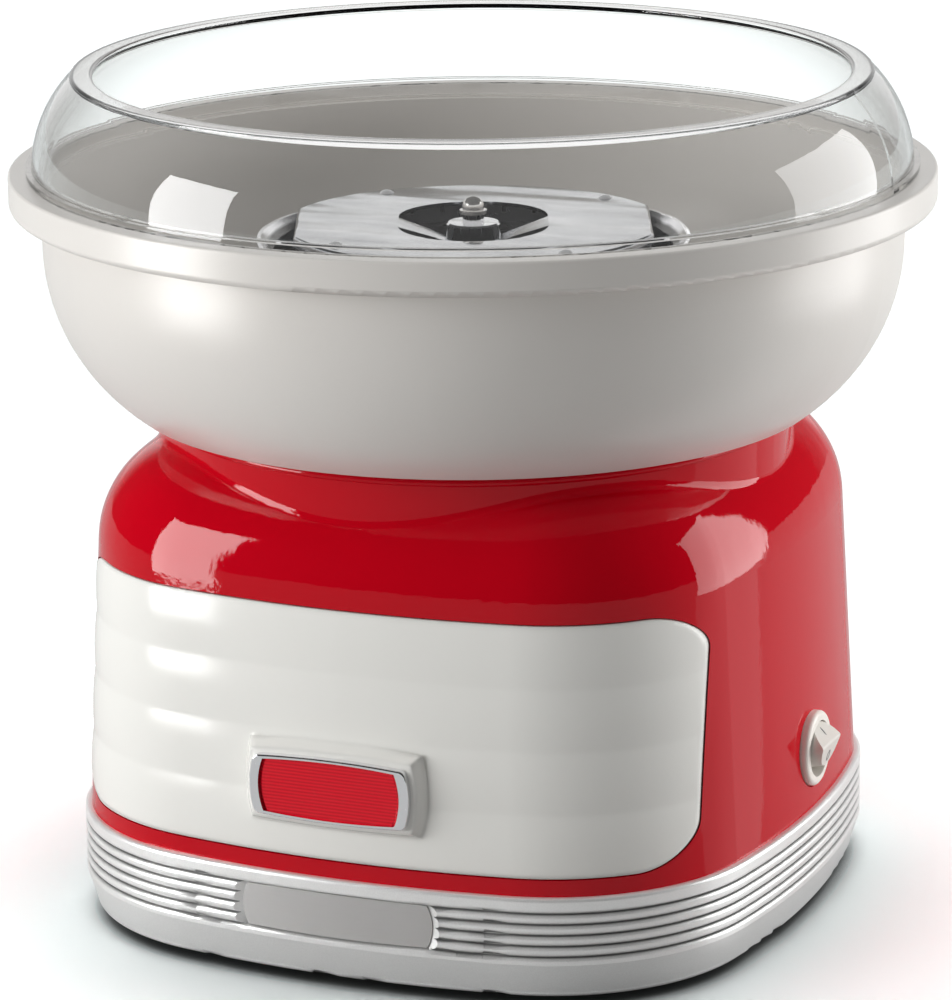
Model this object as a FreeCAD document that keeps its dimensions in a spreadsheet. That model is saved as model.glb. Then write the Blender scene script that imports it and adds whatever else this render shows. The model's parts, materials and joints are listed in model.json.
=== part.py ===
import FreeCAD, Part
import math
import os
import Sketcher

# Electric cotton candy machine.  Millimetres, +Z up, origin on the floor under the middle of the base,
# front towards -Y, power switch on the +X side.

document = FreeCAD.newDocument("CottonCandyMachine")
sheet = document.addObject("Spreadsheet::Sheet", "Dims")
nodes = {}


# ---------------------------------------------------------------------------------------------
# Sizes: each one is a cell of the sheet, and carries its number and the expression that binds it
# ---------------------------------------------------------------------------------------------

class Size:
    """A number together with the sheet expression that gives it."""

    def __init__(self, value, text):
        self.value = value
        self.text = text

    def __add__(self, other):
        other = as_size(other)
        return Size(self.value + other.value, f"({self.text} + {other.text})")

    def __sub__(self, other):
        other = as_size(other)
        return Size(self.value - other.value, f"({self.text} - {other.text})")

    def __mul__(self, other):
        other = as_size(other)
        return Size(self.value * other.value, f"({self.text} * {other.text})")

    def __truediv__(self, other):
        other = as_size(other)
        return Size(self.value / other.value, f"({self.text} / {other.text})")

    def __neg__(self):
        return Size(-self.value, f"(0 - {self.text})")


def as_size(number):
    if isinstance(number, Size):
        return number
    return Size(float(number), f"({float(number)})")


def root(size):
    return Size(math.sqrt(size.value), f"sqrt({size.text})")


def cosine(angle):
    angle = as_size(angle)
    return Size(math.cos(math.radians(angle.value)), f"cos({angle.text} * 1 deg)")


def sine(angle):
    angle = as_size(angle)
    return Size(math.sin(math.radians(angle.value)), f"sin({angle.text} * 1 deg)")


def corner_centre(half_width, corner_radius, bulge_radius):
    """How far from the middle, both ways, the tangent corners of a bulged square plan are centred."""
    inset = bulge_radius - half_width
    reach = bulge_radius - corner_radius
    return (root(reach * reach * 2 - inset * inset) - inset) / 2


def dim(alias, value):
    """One driving dimension: a cell with a plain number and a word as its alias."""
    row = len(dim.cells) + 1
    dim.cells.append(alias)
    sheet.set(f"A{row}", alias)
    sheet.set(f"B{row}", str(value))
    sheet.setAlias(f"B{row}", alias)
    return Size(float(value), f"Dims.{alias}")


dim.cells = []
zero = as_size(0)

# Base: a ribbed tray with bulged sides and round corners, standing on rubber feet
base_lift = dim("base_lift", 3.5)
base_height = dim("base_height", 32.2)
base_half_width = dim("base_half_width", 115.5)
base_corner_radius = dim("base_corner_radius", 68.0)
side_radius = dim("side_radius", 323.0)
base_wall = dim("base_wall", 3.0)
base_taper = dim("base_taper", 3.4)
base_taper_height = dim("base_taper_height", 11.1)
base_hem = dim("base_hem", 1.5)
ledge_thickness = dim("ledge_thickness", 2.5)
ledge_width = dim("ledge_width", 17.5)
bead_pitch = dim("bead_pitch", 3.43)
bead_depth = dim("bead_depth", 1.3)
bead_gap = dim("bead_gap", 0.25)
bead_count = 4
top_bead_height = dim("top_bead_height", 4.9)
foot_radius = dim("foot_radius", 9.0)
foot_inset = dim("foot_inset", 45.5)
foot_height = dim("foot_height", 4.5)
foot_peg_radius = dim("foot_peg_radius", 3.0)
foot_peg_head = dim("foot_peg_head", 4.2)
plate_thickness = dim("plate_thickness", 2.5)
plate_gap = dim("plate_gap", 0.4)
vent_length = dim("vent_length", 64.0)
vent_width = dim("vent_width", 4.0)
vent_pitch = dim("vent_pitch", 9.0)
vent_count = 7
post_inset = dim("post_inset", 11.9)
post_radius = dim("post_radius", 6.0)
screw_radius = dim("screw_radius", 2.0)
screw_head_radius = dim("screw_head_radius", 3.6)
screw_head_height = dim("screw_head_height", 1.6)
screw_gap = dim("screw_gap", 0.1)
body_screw_grip = dim("body_screw_grip", 14.4)

# Blank plate in a recess of the base's front
label_half_width = dim("label_half_width", 29.6)
label_end_bulge = dim("label_end_bulge", 1.8)
label_side_bulge = dim("label_side_bulge", 0.2)
label_height = dim("label_height", 13.4)
label_rise = dim("label_rise", 20.3)
label_recess_depth = dim("label_recess_depth", 2.1)
label_thickness = dim("label_thickness", 0.6)
label_gap = dim("label_gap", 0.15)
label_end_slope = dim("label_end_slope", 3.4)
label_side_slope = dim("label_side_slope", 0.3)

# Housing: a drafted shell with the same plan, big shoulders and a round neck
ledge_step = dim("ledge_step", 2.2)
housing_corner_radius = dim("housing_corner_radius", 65.0)
housing_top = dim("housing_top", 155.0)
draft_angle = dim("draft_angle", 3.07)
shoulder_steps = 6
housing_wall = dim("housing_wall", 3.0)
shoulder_radius = dim("shoulder_radius", 34.0)
neck_inset = dim("neck_inset", 13.3)
neck_wall = dim("neck_wall", 3.0)
neck_rise = dim("neck_rise", 4.0)
neck_blend = dim("neck_blend", 3.0)
neck_bead = dim("neck_bead", 0.7)
neck_bead_height = dim("neck_bead_height", 2.2)
deck_thickness = dim("deck_thickness", 3.0)
housing_boss_radius = dim("housing_boss_radius", 10.0)
housing_boss_height = dim("housing_boss_height", 24.0)
boss_hole_depth = dim("boss_hole_depth", 18.0)

# Front panel: an off-white skin with broad level flutes, in a shallow recess round both front corners
panel_side_inset = dim("panel_side_inset", 11.3)
panel_lift = dim("panel_lift", 5.6)
panel_height = dim("panel_height", 77.5)
panel_corner_radius = dim("panel_corner_radius", 13.0)
panel_recess = dim("panel_recess", 1.5)
panel_thickness = dim("panel_thickness", 2.0)
panel_gap = dim("panel_gap", 0.5)
flute_depth = dim("flute_depth", 0.5)
flute_count = 4

# Badge: a chrome frame with a blank red lens on a raised pad of the panel
badge_rise = dim("badge_rise", 23.1)
badge_half_width = dim("badge_half_width", 24.6)
badge_height = dim("badge_height", 18.6)
badge_end_bulge = dim("badge_end_bulge", 1.6)
badge_side_bulge = dim("badge_side_bulge", 0.9)
badge_corner = dim("badge_corner", 2.2)
badge_end_rim = dim("badge_end_rim", 3.0)
badge_side_rim = dim("badge_side_rim", 1.0)
badge_rim_round = dim("badge_rim_round", 0.6)
badge_frame_depth = dim("badge_frame_depth", 2.4)
badge_lens_drop = dim("badge_lens_drop", 0.7)
badge_lens_bevel = dim("badge_lens_bevel", 1.0)
badge_pad_margin = dim("badge_pad_margin", 1.6)
badge_pad_flare = dim("badge_pad_flare", 2.2)
badge_pad_height = dim("badge_pad_height", 3.4)

# Round rocker switch on the +X side
switch_offset = dim("switch_offset", 4.4)
switch_rise = dim("switch_rise", 18.7)
switch_seat_depth = dim("switch_seat_depth", 0.697)
switch_flange_radius = dim("switch_flange_radius", 12.0)
switch_flange_thickness = dim("switch_flange_thickness", 3.0)
switch_barrel_radius = dim("switch_barrel_radius", 10.2)
switch_barrel_length = dim("switch_barrel_length", 15.0)
switch_back_thickness = dim("switch_back_thickness", 3.0)
switch_aperture_radius = dim("switch_aperture_radius", 9.0)
switch_hole_gap = dim("switch_hole_gap", 0.2)
rocker_half_length = dim("rocker_half_length", 7.3)
rocker_gap = dim("rocker_gap", 0.35)
rocker_ridge = dim("rocker_ridge", 11.0)
rocker_crest = dim("rocker_crest", 0.6)
rocker_belly = dim("rocker_belly", 5.26)
rocker_shoulder = dim("rocker_shoulder", 3.73)
rocker_slope = dim("rocker_slope", 30.0)
rocker_depth = dim("rocker_depth", 3.0)
rocker_tilt = dim("rocker_tilt", 14.0)
rocker_pivot_drop = dim("rocker_pivot_drop", 3.6)
rocker_pin_radius = dim("rocker_pin_radius", 1.0)
pin_clearance = dim("pin_clearance", 0.05)
contact_width = dim("contact_width", 6.3)
contact_thickness = dim("contact_thickness", 0.8)
contact_length = dim("contact_length", 8.0)
contact_spacing = dim("contact_spacing", 6.0)

# Cord inlet grommet at the back
grommet_rise = dim("grommet_rise", 16.3)
grommet_bore = dim("grommet_bore", 3.7)
grommet_neck = dim("grommet_neck", 6.6)
grommet_flange_radius = dim("grommet_flange_radius", 9.0)
grommet_flange_thickness = dim("grommet_flange_thickness", 2.0)
grommet_seat_depth = dim("grommet_seat_depth", 0.826)
grommet_grip = dim("grommet_grip", 3.45)
grommet_lip_step = dim("grommet_lip_step", 1.0)
grommet_gap = dim("grommet_gap", 0.2)

# Bowl and splash guard
lip_reach = dim("lip_reach", 10.0)
lip_height = dim("lip_height", 10.7)
lip_round = dim("lip_round", 2.2)
lip_edge_round = dim("lip_edge_round", 0.9)
lip_ledge = dim("lip_ledge", 9.0)
lip_inner_drop = dim("lip_inner_drop", 4.5)
bowl_overhang = dim("bowl_overhang", 35.0)
bowl_clearance = dim("bowl_clearance", 2.3)
bowl_curve_rise = dim("bowl_curve_rise", 51.1)
bowl_side_height = dim("bowl_side_height", 22.6)
bowl_curve_radius = dim("bowl_curve_radius", 62.7)
bowl_wall = dim("bowl_wall", 2.5)
bowl_hole_gap = dim("bowl_hole_gap", 5.0)
bowl_collar_height = dim("bowl_collar_height", 9.0)
bowl_ring_gap = dim("bowl_ring_gap", 0.5)
bowl_ring_wall = dim("bowl_ring_wall", 3.0)
gasket_thickness = dim("gasket_thickness", 1.5)
guard_step = dim("guard_step", 1.7)
guard_curve_radius = dim("guard_curve_radius", 40.6)
guard_height = dim("guard_height", 30.6)
guard_wall = dim("guard_wall", 2.0)
guard_rim_width = dim("guard_rim_width", 7.19)
guard_rim_height = dim("guard_rim_height", 2.6)
guard_edge_round = dim("guard_edge_round", 1.0)
guard_foot_width = dim("guard_foot_width", 1.8)
guard_spigot_depth = dim("guard_spigot_depth", 3.5)
guard_gap = dim("guard_gap", 0.3)

# Heater pot and what it holds
sheet_metal = dim("sheet_metal", 1.2)
pot_radius = dim("pot_radius", 64.0)
pot_flange_width = dim("pot_flange_width", 16.0)
pot_rim_reach = dim("pot_rim_reach", 4.0)
pot_rim_drop = dim("pot_rim_drop", 0.6)
pot_rim_flare = dim("pot_rim_flare", 4.5)
pot_lift = dim("pot_lift", 31.0)
pot_tube_radius = dim("pot_tube_radius", 9.0)
pot_tube_height = dim("pot_tube_height", 4.0)
pot_screw_reach = dim("pot_screw_reach", 9.0)
pot_screw_length = dim("pot_screw_length", 5.5)
heater_ring_radius = dim("heater_ring_radius", 44.0)
heater_tube_radius = dim("heater_tube_radius", 3.6)
heater_standoff = dim("heater_standoff", 3.0)
heater_leg_angle = dim("heater_leg_angle", 9.0)
heater_leg_radius = dim("heater_leg_radius", 2.4)
heater_leg_drop = dim("heater_leg_drop", 16.0)
insulator_radius = dim("insulator_radius", 4.4)
insulator_neck_radius = dim("insulator_neck_radius", 3.3)
insulator_start_angle = dim("insulator_start_angle", 210.0)
insulator_overhang = dim("insulator_overhang", 2.0)
thermostat_radius = dim("thermostat_radius", 8.0)
thermostat_height = dim("thermostat_height", 9.0)
thermostat_foot_radius = dim("thermostat_foot_radius", 6.0)
thermostat_foot_height = dim("thermostat_foot_height", 3.6)
thermostat_reach = dim("thermostat_reach", 36.0)
fuse_radius = dim("fuse_radius", 2.2)
fuse_length = dim("fuse_length", 15.0)
fuse_reach = dim("fuse_reach", 34.0)

# Motor, hung under the deck on rubber bushes
bush_height = dim("bush_height", 3.0)
bush_radius = dim("bush_radius", 5.0)
bracket_thickness = dim("bracket_thickness", 2.0)
bracket_margin = dim("bracket_margin", 7.0)
bracket_screw_reach = dim("bracket_screw_reach", 9.2)
bracket_screw_angle = dim("bracket_screw_angle", 45.0)
bracket_hole_depth = dim("bracket_hole_depth", 2.4)
motor_screw_grip = dim("motor_screw_grip", 1.8)
bracket_window_radius = dim("bracket_window_radius", 15.0)
bracket_window_circle = dim("bracket_window_circle", 52.0)
motor_radius = dim("motor_radius", 30.0)
motor_length = dim("motor_length", 52.0)
motor_wall = dim("motor_wall", 1.5)
end_cap_thickness = dim("end_cap_thickness", 3.0)
bearing_radius = dim("bearing_radius", 8.0)
bearing_height = dim("bearing_height", 6.0)
bearing_clearance = dim("bearing_clearance", 0.03)
bearing_chamfer = dim("bearing_chamfer", 0.6)
bearing_rise = dim("bearing_rise", 4.5)
magnet_thickness = dim("magnet_thickness", 4.0)
magnet_height = dim("magnet_height", 32.0)
magnet_angle = dim("magnet_angle", 120.0)
magnet_gap = dim("magnet_gap", 0.8)
core_height = dim("core_height", 26.0)
slot_width = dim("slot_width", 3.0)
slot_depth = dim("slot_depth", 8.0)
slot_count = 10
winding_radius = dim("winding_radius", 18.0)
winding_overhang = dim("winding_overhang", 5.0)
commutator_radius = dim("commutator_radius", 9.0)
commutator_height = dim("commutator_height", 6.0)
brush_length = dim("brush_length", 9.0)
brush_overhang = dim("brush_overhang", 3.6)
brush_width = dim("brush_width", 5.0)
brush_height = dim("brush_height", 4.0)
brush_gap = dim("brush_gap", 0.1)
brush_lift = dim("brush_lift", 1.0)
commutator_gap = dim("commutator_gap", 0.3)
shaft_radius = dim("shaft_radius", 3.0)
stud_radius = dim("stud_radius", 2.5)
shaft_tail = dim("shaft_tail", 23.0)
fan_lift = dim("fan_lift", 2.0)
fan_radius = dim("fan_radius", 36.0)
fan_hub_radius = dim("fan_hub_radius", 8.0)
fan_height = dim("fan_height", 14.0)
fan_disc_thickness = dim("fan_disc_thickness", 1.6)
fan_blade_thickness = dim("fan_blade_thickness", 1.6)
fan_blade_count = 9

# Spinning head: plate, perforated band and pan, clamped on the shaft by the domed nut
head_gap = dim("head_gap", 2.8)
head_flat_depth = dim("head_flat_depth", 4.2)
head_corner = dim("head_corner", 5.0)
head_rim_drop = dim("head_rim_drop", 2.8)
head_rim_round = dim("head_rim_round", 1.1)
head_rest_angle = dim("head_rest_angle", 22.7)
arm_dip = dim("arm_dip", 5.6)
arm_outer_width = dim("arm_outer_width", 15.0)
arm_inner_width = dim("arm_inner_width", 9.0)
arm_root = dim("arm_root", 1.0)
hole_half_width = dim("hole_half_width", 23.5)
hole_half_depth = dim("hole_half_depth", 31.0)
hub_plate_radius = dim("hub_plate_radius", 10.5)
head_slit = dim("head_slit", 1.2)
pan_clearance = dim("pan_clearance", 5.6)
pan_height = dim("pan_height", 9.4)
pan_inset = dim("pan_inset", 0.6)
pan_bottom_round = dim("pan_bottom_round", 2.5)
band_thickness = dim("band_thickness", 0.7)
band_gap = dim("band_gap", 0.1)
band_slot_width = dim("band_slot_width", 1.4)
band_slot_height = dim("band_slot_height", 5.0)
band_slot_count = 36
collar_radius = dim("collar_radius", 8.5)
collar_height = dim("collar_height", 5.3)
collar_chamfer = dim("collar_chamfer", 0.6)
drive_hub_height = dim("drive_hub_height", 6.0)
drive_pin_radius = dim("drive_pin_radius", 1.2)
rivet_inset = dim("rivet_inset", 5.4)
rivet_shank_radius = dim("rivet_shank_radius", 1.2)
rivet_head_radius = dim("rivet_head_radius", 2.3)
rivet_head_height = dim("rivet_head_height", 1.1)
rivet_angle_one = dim("rivet_angle_one", 39.1)
rivet_angle_two = dim("rivet_angle_two", 120.7)
sleeve_radius = dim("sleeve_radius", 3.4)
sleeve_height = dim("sleeve_height", 2.8)
nut_flange_radius = dim("nut_flange_radius", 4.3)
nut_flange_height = dim("nut_flange_height", 1.2)
nut_radius = dim("nut_radius", 3.4)
nut_height = dim("nut_height", 5.7)
stud_reach = dim("stud_reach", 3.4)

# Terminal block on the bottom plate
block_length = dim("block_length", 34.0)
block_width = dim("block_width", 17.0)
block_height = dim("block_height", 13.0)
block_screw_radius = dim("block_screw_radius", 2.2)
block_screw_depth = dim("block_screw_depth", 5.0)
block_pitch = dim("block_pitch", 10.0)
block_inset = dim("block_inset", 47.5)
block_well_offset = dim("block_well_offset", 4.4)

document.recompute()

# Widths: each takes its place from the one inside or outside it
foot_offset = base_half_width - foot_inset
block_reach = base_half_width - block_inset
foot_half_width = base_half_width - base_taper
plate_half_width = foot_half_width - base_wall - plate_gap
housing_half_width = base_half_width - ledge_step
post_offset = corner_centre(housing_half_width, housing_corner_radius, side_radius) \
    + (housing_corner_radius - post_inset) * cosine(45)
panel_half_width = housing_half_width - panel_side_inset
neck_radius = housing_half_width - neck_inset
neck_inner = neck_radius - neck_wall
bowl_ring_radius = neck_inner - bowl_ring_gap
bowl_radius = neck_radius + bowl_overhang
lip_radius = bowl_radius + lip_reach
lip_inner_radius = lip_radius - lip_ledge
guard_radius = lip_inner_radius + guard_step
pot_inner = pot_radius - sheet_metal
pot_rim_radius = pot_radius + pot_rim_reach
pot_flange_radius = pot_radius + pot_flange_width
pot_screw_circle = pot_radius + pot_screw_reach
bowl_hole_radius = pot_rim_radius + bowl_hole_gap
bracket_screw_circle = pot_inner + bracket_screw_reach
bracket_radius = bracket_screw_circle + bracket_margin
head_radius = pot_inner - head_gap
head_flat = head_radius - head_flat_depth
rivet_circle = head_radius - rivet_inset
rivet_angles = (rivet_angle_one, rivet_angle_two)
band_inset = pan_inset + sheet_metal + band_gap
magnet_inner = motor_radius - motor_wall - magnet_thickness

# Levels: each stands on the one below it, from the floor up
plate_bottom = foot_height
plate_top = plate_bottom + plate_thickness
taper_top = base_lift + base_taper_height
label_centre_height = base_lift + label_rise
base_top = base_lift + base_height
panel_bottom = base_top + panel_lift
panel_top = panel_bottom + panel_height
badge_centre_height = panel_bottom + badge_rise
switch_height = base_top + switch_rise
grommet_height = base_top + grommet_rise
shoulder_centre = housing_top - shoulder_radius
neck_top = housing_top + neck_rise
deck_top = housing_top
deck_bottom = deck_top - deck_thickness
bracket_top = deck_bottom - bush_height
bracket_bottom = bracket_top - bracket_thickness
motor_top = bracket_bottom
motor_bottom = motor_top - motor_length
bowl_bottom_height = neck_top + bowl_clearance
bowl_curve_height = bowl_bottom_height + bowl_curve_rise
bowl_rim_height = bowl_curve_height + bowl_side_height
pot_floor_height = deck_top + pot_lift
pot_floor_top = pot_floor_height + sheet_metal
heater_level = pot_floor_top + heater_standoff + heater_tube_radius
pan_bottom = heater_level + heater_tube_radius + pan_clearance
pan_top = pan_bottom + pan_height
pot_rim_height = pan_top - pot_rim_drop
head_height = pan_top + head_slit + head_rim_drop
head_plate_bottom = head_height - sheet_metal
arm_top = head_height - arm_dip
arm_bottom = arm_top - sheet_metal


# ---------------------------------------------------------------------------------------------
# Sketches and features
# ---------------------------------------------------------------------------------------------

def bind(thing, prop, size):
    thing.setExpression(prop, as_size(size).text)


def new_body(name):
    return document.addObject("PartDesign::Body", name)


def new_sketch(body, name, plane, offset=zero):
    """A sketch on one of the body's own origin planes, moved along that plane's normal by offset."""
    sketch = body.newObject("Sketcher::SketchObject", name)
    support = [feature for feature in body.Origin.OriginFeatures if feature.Role == plane][0]
    sketch.AttachmentSupport = (support, [""])
    sketch.MapMode = "FlatFace"
    sketch.AttachmentOffset = FreeCAD.Placement(FreeCAD.Vector(0, 0, offset.value), FreeCAD.Rotation())
    bind(sketch, "AttachmentOffset.Base.z", offset)
    return sketch


def constrain(sketch, kind, references, size):
    index = sketch.addConstraint(Sketcher.Constraint(kind, *references, size.value))
    bind(sketch, f"Constraints[{index}]", size)


def fix_point(sketch, geometry, end, across, up):
    constrain(sketch, "DistanceX", (-1, 1, geometry, end), across)
    constrain(sketch, "DistanceY", (-1, 1, geometry, end), up)


def arc_between(start, finish, radius):
    """The short arc from start to finish, anticlockwise for a positive radius."""
    middle = (start + finish) * 0.5
    chord = finish - start
    height = math.sqrt(max(radius * radius - chord.Length * chord.Length / 4.0, 0.0))
    left = FreeCAD.Vector(-chord.y, chord.x, 0) / chord.Length
    centre = middle + left * (height if radius > 0 else -height)
    first, last = (start, finish) if radius > 0 else (finish, start)
    from_angle = math.atan2(first.y - centre.y, first.x - centre.x)
    to_angle = math.atan2(last.y - centre.y, last.x - centre.x)
    circle = Part.Circle(centre, FreeCAD.Vector(0, 0, 1), abs(radius))
    return Part.ArcOfCircle(circle, from_angle, to_angle)


def outline(sketch, points, closed=True):
    """A run through (across, up) points, closed or open.  A third entry makes the run to the next point
    an arc of that radius, anticlockwise when positive and clockwise when negative."""
    points = [tuple(as_size(entry) for entry in point) for point in points]
    corners = [FreeCAD.Vector(point[0].value, point[1].value, 0) for point in points]
    runs = points if closed else points[:-1]
    ends = []
    for index, point in enumerate(runs):
        start = corners[index]
        finish = corners[(index + 1) % len(points)]
        if len(point) == 3:
            geometry = sketch.addGeometry(arc_between(start, finish, point[2].value), False)
            ends.append((geometry, 1, 2) if point[2].value > 0 else (geometry, 2, 1))
        else:
            geometry = sketch.addGeometry(Part.LineSegment(start, finish), False)
            ends.append((geometry, 1, 2))
    for index, point in enumerate(runs):
        geometry, start_end, _ = ends[index]
        if closed or index > 0:
            before, _, before_end = ends[index - 1]
            sketch.addConstraint(
                Sketcher.Constraint("Coincident", before, before_end, geometry, start_end))
        fix_point(sketch, geometry, start_end, point[0], point[1])
        if len(point) == 3:
            radius = point[2] if point[2].value > 0 else -point[2]
            constrain(sketch, "Radius", (geometry,), radius)
    if not closed:
        geometry, _, last_end = ends[-1]
        fix_point(sketch, geometry, last_end, points[-1][0], points[-1][1])
    return sketch


def circle(sketch, across, up, radius):
    across, up = as_size(across), as_size(up)
    centre = FreeCAD.Vector(across.value, up.value, 0)
    geometry = sketch.addGeometry(Part.Circle(centre, FreeCAD.Vector(0, 0, 1), radius.value), False)
    fix_point(sketch, geometry, 3, across, up)
    constrain(sketch, "Radius", (geometry,), radius)
    return sketch


def rectangle(sketch, left, right, low, high):
    return outline(sketch, [(left, low), (right, low), (right, high), (left, high)])


def corner_ends(half_width, corner_radius, bulge_radius):
    """Where a tangent corner meets the bulged sides of a square plan, along a side and out to it."""
    inset = bulge_radius - half_width
    reach = bulge_radius - corner_radius
    centre = corner_centre(half_width, corner_radius, bulge_radius)
    near = bulge_radius * centre / reach
    far = bulge_radius * (centre + inset) / reach - inset
    return near, far


def rounded_square(sketch, half_width, corner_radius, bulge_radius):
    """A square plan with sides bulged to bulge_radius and tangent corners of corner_radius."""
    near, far = corner_ends(half_width, corner_radius, bulge_radius)
    return outline(sketch, [
        (far, -near, bulge_radius), (far, near, corner_radius),
        (near, far, bulge_radius), (-near, far, corner_radius),
        (-far, near, bulge_radius), (-far, -near, corner_radius),
        (-near, -far, bulge_radius), (near, -far, corner_radius)])


def barrel(sketch, half_width, height, end_bulge, side_bulge, centre_height):
    """A badge outline: a rectangle whose four sides bulge outwards."""
    half_height = height / 2
    end_radius = (half_height * half_height + end_bulge * end_bulge) / (end_bulge * 2)
    side_arc = (half_width * half_width + side_bulge * side_bulge) / (side_bulge * 2)
    low = centre_height - half_height
    high = centre_height + half_height
    return outline(sketch, [
        (-half_width, low, side_arc), (half_width, low, end_radius),
        (half_width, high, side_arc), (-half_width, high, end_radius)])


def flatted_disc(sketch, radius, flat):
    """A disc cut off by two flats at +-flat from its middle."""
    rise = root(radius * radius - flat * flat)
    return outline(sketch, [
        (flat, -rise), (flat, rise, radius), (-flat, rise), (-flat, -rise, radius)])


def feature(body, kind, name, **settings):
    made = body.newObject(f"PartDesign::{kind}", name)
    for prop, setting in settings.items():
        if isinstance(setting, Size):
            setattr(made, prop, setting.value)
            bind(made, prop, setting)
        else:
            setattr(made, prop, setting)
    return made


def pad(body, sketch, length, **settings):
    return feature(body, "Pad", sketch.Name + "Pad", Profile=sketch, Length=length, **settings)


def pocket(body, sketch, length, **settings):
    return feature(body, "Pocket", sketch.Name + "Pocket", Profile=sketch, Length=length, **settings)


def pocket_through(body, sketch):
    return feature(body, "Pocket", sketch.Name + "Pocket", Profile=sketch, Type="ThroughAll",
                   Midplane=True)


def revolve(body, sketch, kind="Revolution"):
    return feature(body, kind, sketch.Name + "Turned", Profile=sketch,
                   ReferenceAxis=(sketch, ["V_Axis"]), Angle=360.0)


def loft(body, sketches, kind="AdditiveLoft"):
    return feature(body, kind, sketches[0].Name + "Loft", Profile=sketches[0],
                   Sections=sketches[1:], Ruled=True)


def sweep_round(body, name, points, half_width, corner_radius, reach):
    """Sweeps an outline in the YZ plane round the rounded square plan, from the middle of its front
    through reach of its runs (6 go right round), and mirrors it to the other side."""
    near, far = corner_ends(half_width, corner_radius, side_radius)
    plan = [(0, -half_width, side_radius), (near, -far, corner_radius), (far, -near, side_radius),
            (far, near, corner_radius), (near, far, side_radius), (0, half_width)]
    path = outline(new_sketch(body, name + "Path", "XY_Plane"), plan[:reach], closed=False)
    section = outline(new_sketch(body, name + "Section", "YZ_Plane"), points)
    swept = feature(body, "AdditivePipe", name + "Swept", Profile=section, Spine=(path, []),
                    Mode="Frenet")
    middle = [item for item in body.Origin.OriginFeatures if item.Role == "YZ_Plane"][0]
    whole = feature(body, "Mirrored", name + "Whole", Originals=[swept], MirrorPlane=(middle, [""]))
    body.Tip = whole
    return whole


def pattern_round(body, originals, count, name, angle=360.0):
    axis = [item for item in body.Origin.OriginFeatures if item.Role == "Z_Axis"][0]
    made = feature(body, "PolarPattern", name, Originals=originals, Axis=(axis, [""]),
                   Angle=angle, Occurrences=count)
    body.Tip = made
    return made


def pattern_along(body, originals, role, count, pitch, name):
    axis = [item for item in body.Origin.OriginFeatures if item.Role == role][0]
    made = feature(body, "LinearPattern", name, Originals=originals, Direction=(axis, [""]),
                   Occurrences=count, Length=pitch * (count - 1))
    body.Tip = made
    return made


def fillet(body, radius, name, wanted):
    """Rounds every edge of the body's tip that wanted(edge) picks."""
    document.recompute()
    base = body.Tip
    names = [f"Edge{index + 1}" for index, edge in enumerate(base.Shape.Edges) if wanted(edge)]
    return feature(body, "Fillet", name, Base=(base, names), Radius=radius)


def level_edge(edge, height, tolerance=0.01):
    box = edge.BoundBox
    return abs(box.ZMin - height.value) < tolerance and abs(box.ZMax - height.value) < tolerance


def place(thing, across=zero, along=zero, up=zero, turn=zero, axis=(0, 0, 1)):
    """Moves an object to (across, along, up) and turns it about axis."""
    across, along, up, turn = as_size(across), as_size(along), as_size(up), as_size(turn)
    rotation = FreeCAD.Rotation(FreeCAD.Vector(*axis), turn.value)
    thing.Placement = FreeCAD.Placement(FreeCAD.Vector(across.value, along.value, up.value), rotation)
    bind(thing, "Placement.Base.x", across)
    bind(thing, "Placement.Base.y", along)
    bind(thing, "Placement.Base.z", up)
    if turn.text != zero.text:
        bind(thing, "Placement.Rotation.Angle", turn)
    return thing


def solid(kind, name, **settings):
    made = document.addObject(f"Part::{kind}", name)
    for prop, setting in settings.items():
        if isinstance(setting, Size):
            setattr(made, prop, setting.value)
            bind(made, prop, setting)
        else:
            setattr(made, prop, setting)
    return made


def rod(name, radius, low, high, across=zero, along=zero):
    """An upright cylinder between two heights."""
    made = solid("Cylinder", name, Radius=as_size(radius), Height=as_size(high) - low)
    return place(made, across, along, low)


def cut(name, base, tool):
    return solid("Cut", name, Base=base, Tool=tool)


def fuse(name, shapes):
    return solid("MultiFuse", name, Shapes=shapes)


def group(name, shapes):
    return solid("Compound", name, Links=shapes)


def corner_places(offset):
    return [(offset, offset), (-offset, offset), (-offset, -offset), (offset, -offset)]


def ring_places(circle_radius, count, start):
    """count places (across, along) on a circle, the first at the angle start."""
    step = 360.0 / count
    return [(circle_radius * cosine(start + step * index), circle_radius * sine(start + step * index))
            for index in range(count)]


def keep(node, thing):
    """Names a finished sub-part: its label is the name of its node."""
    thing.Label = node
    nodes[node] = thing
    return thing


def turned_piece(node, points, up=zero):
    """A piece turned about the machine's axis from an outline of (radius, height) points."""
    body = new_body(node + "_body")
    revolve(body, outline(new_sketch(body, node + "Section", "XZ_Plane"), points))
    place(body, up=up)
    return keep(node, body)


# ---------------------------------------------------------------------------------------------
# Base
# ---------------------------------------------------------------------------------------------

def plan_at(body, name, height, inset, half_width=base_half_width, corner=base_corner_radius):
    """The rounded square plan at a height, moved inwards all round by inset."""
    sketch = new_sketch(body, name, "XY_Plane", height)
    return rounded_square(sketch, half_width - inset, corner - inset, side_radius - inset)


def base_front(name, inner_depth, outer_depth):
    """A strip of the base's front between two depths below its face, wider than the label's recess."""
    body = new_body(name)
    arc_centre = side_radius - base_half_width
    inner = side_radius - inner_depth
    outer = side_radius - outer_depth
    reach = label_half_width + label_end_bulge + label_end_slope * 2
    inner_edge = arc_centre - root(inner * inner - reach * reach)
    outer_edge = arc_centre - root(outer * outer - reach * reach)
    strip = new_sketch(body, name + "Plan", "XY_Plane", label_centre_height - label_height)
    outline(strip, [
        (-reach, outer_edge, outer), (reach, outer_edge), (reach, inner_edge, -inner),
        (-reach, inner_edge)])
    pad(body, strip, label_height * 2)
    return body


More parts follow.
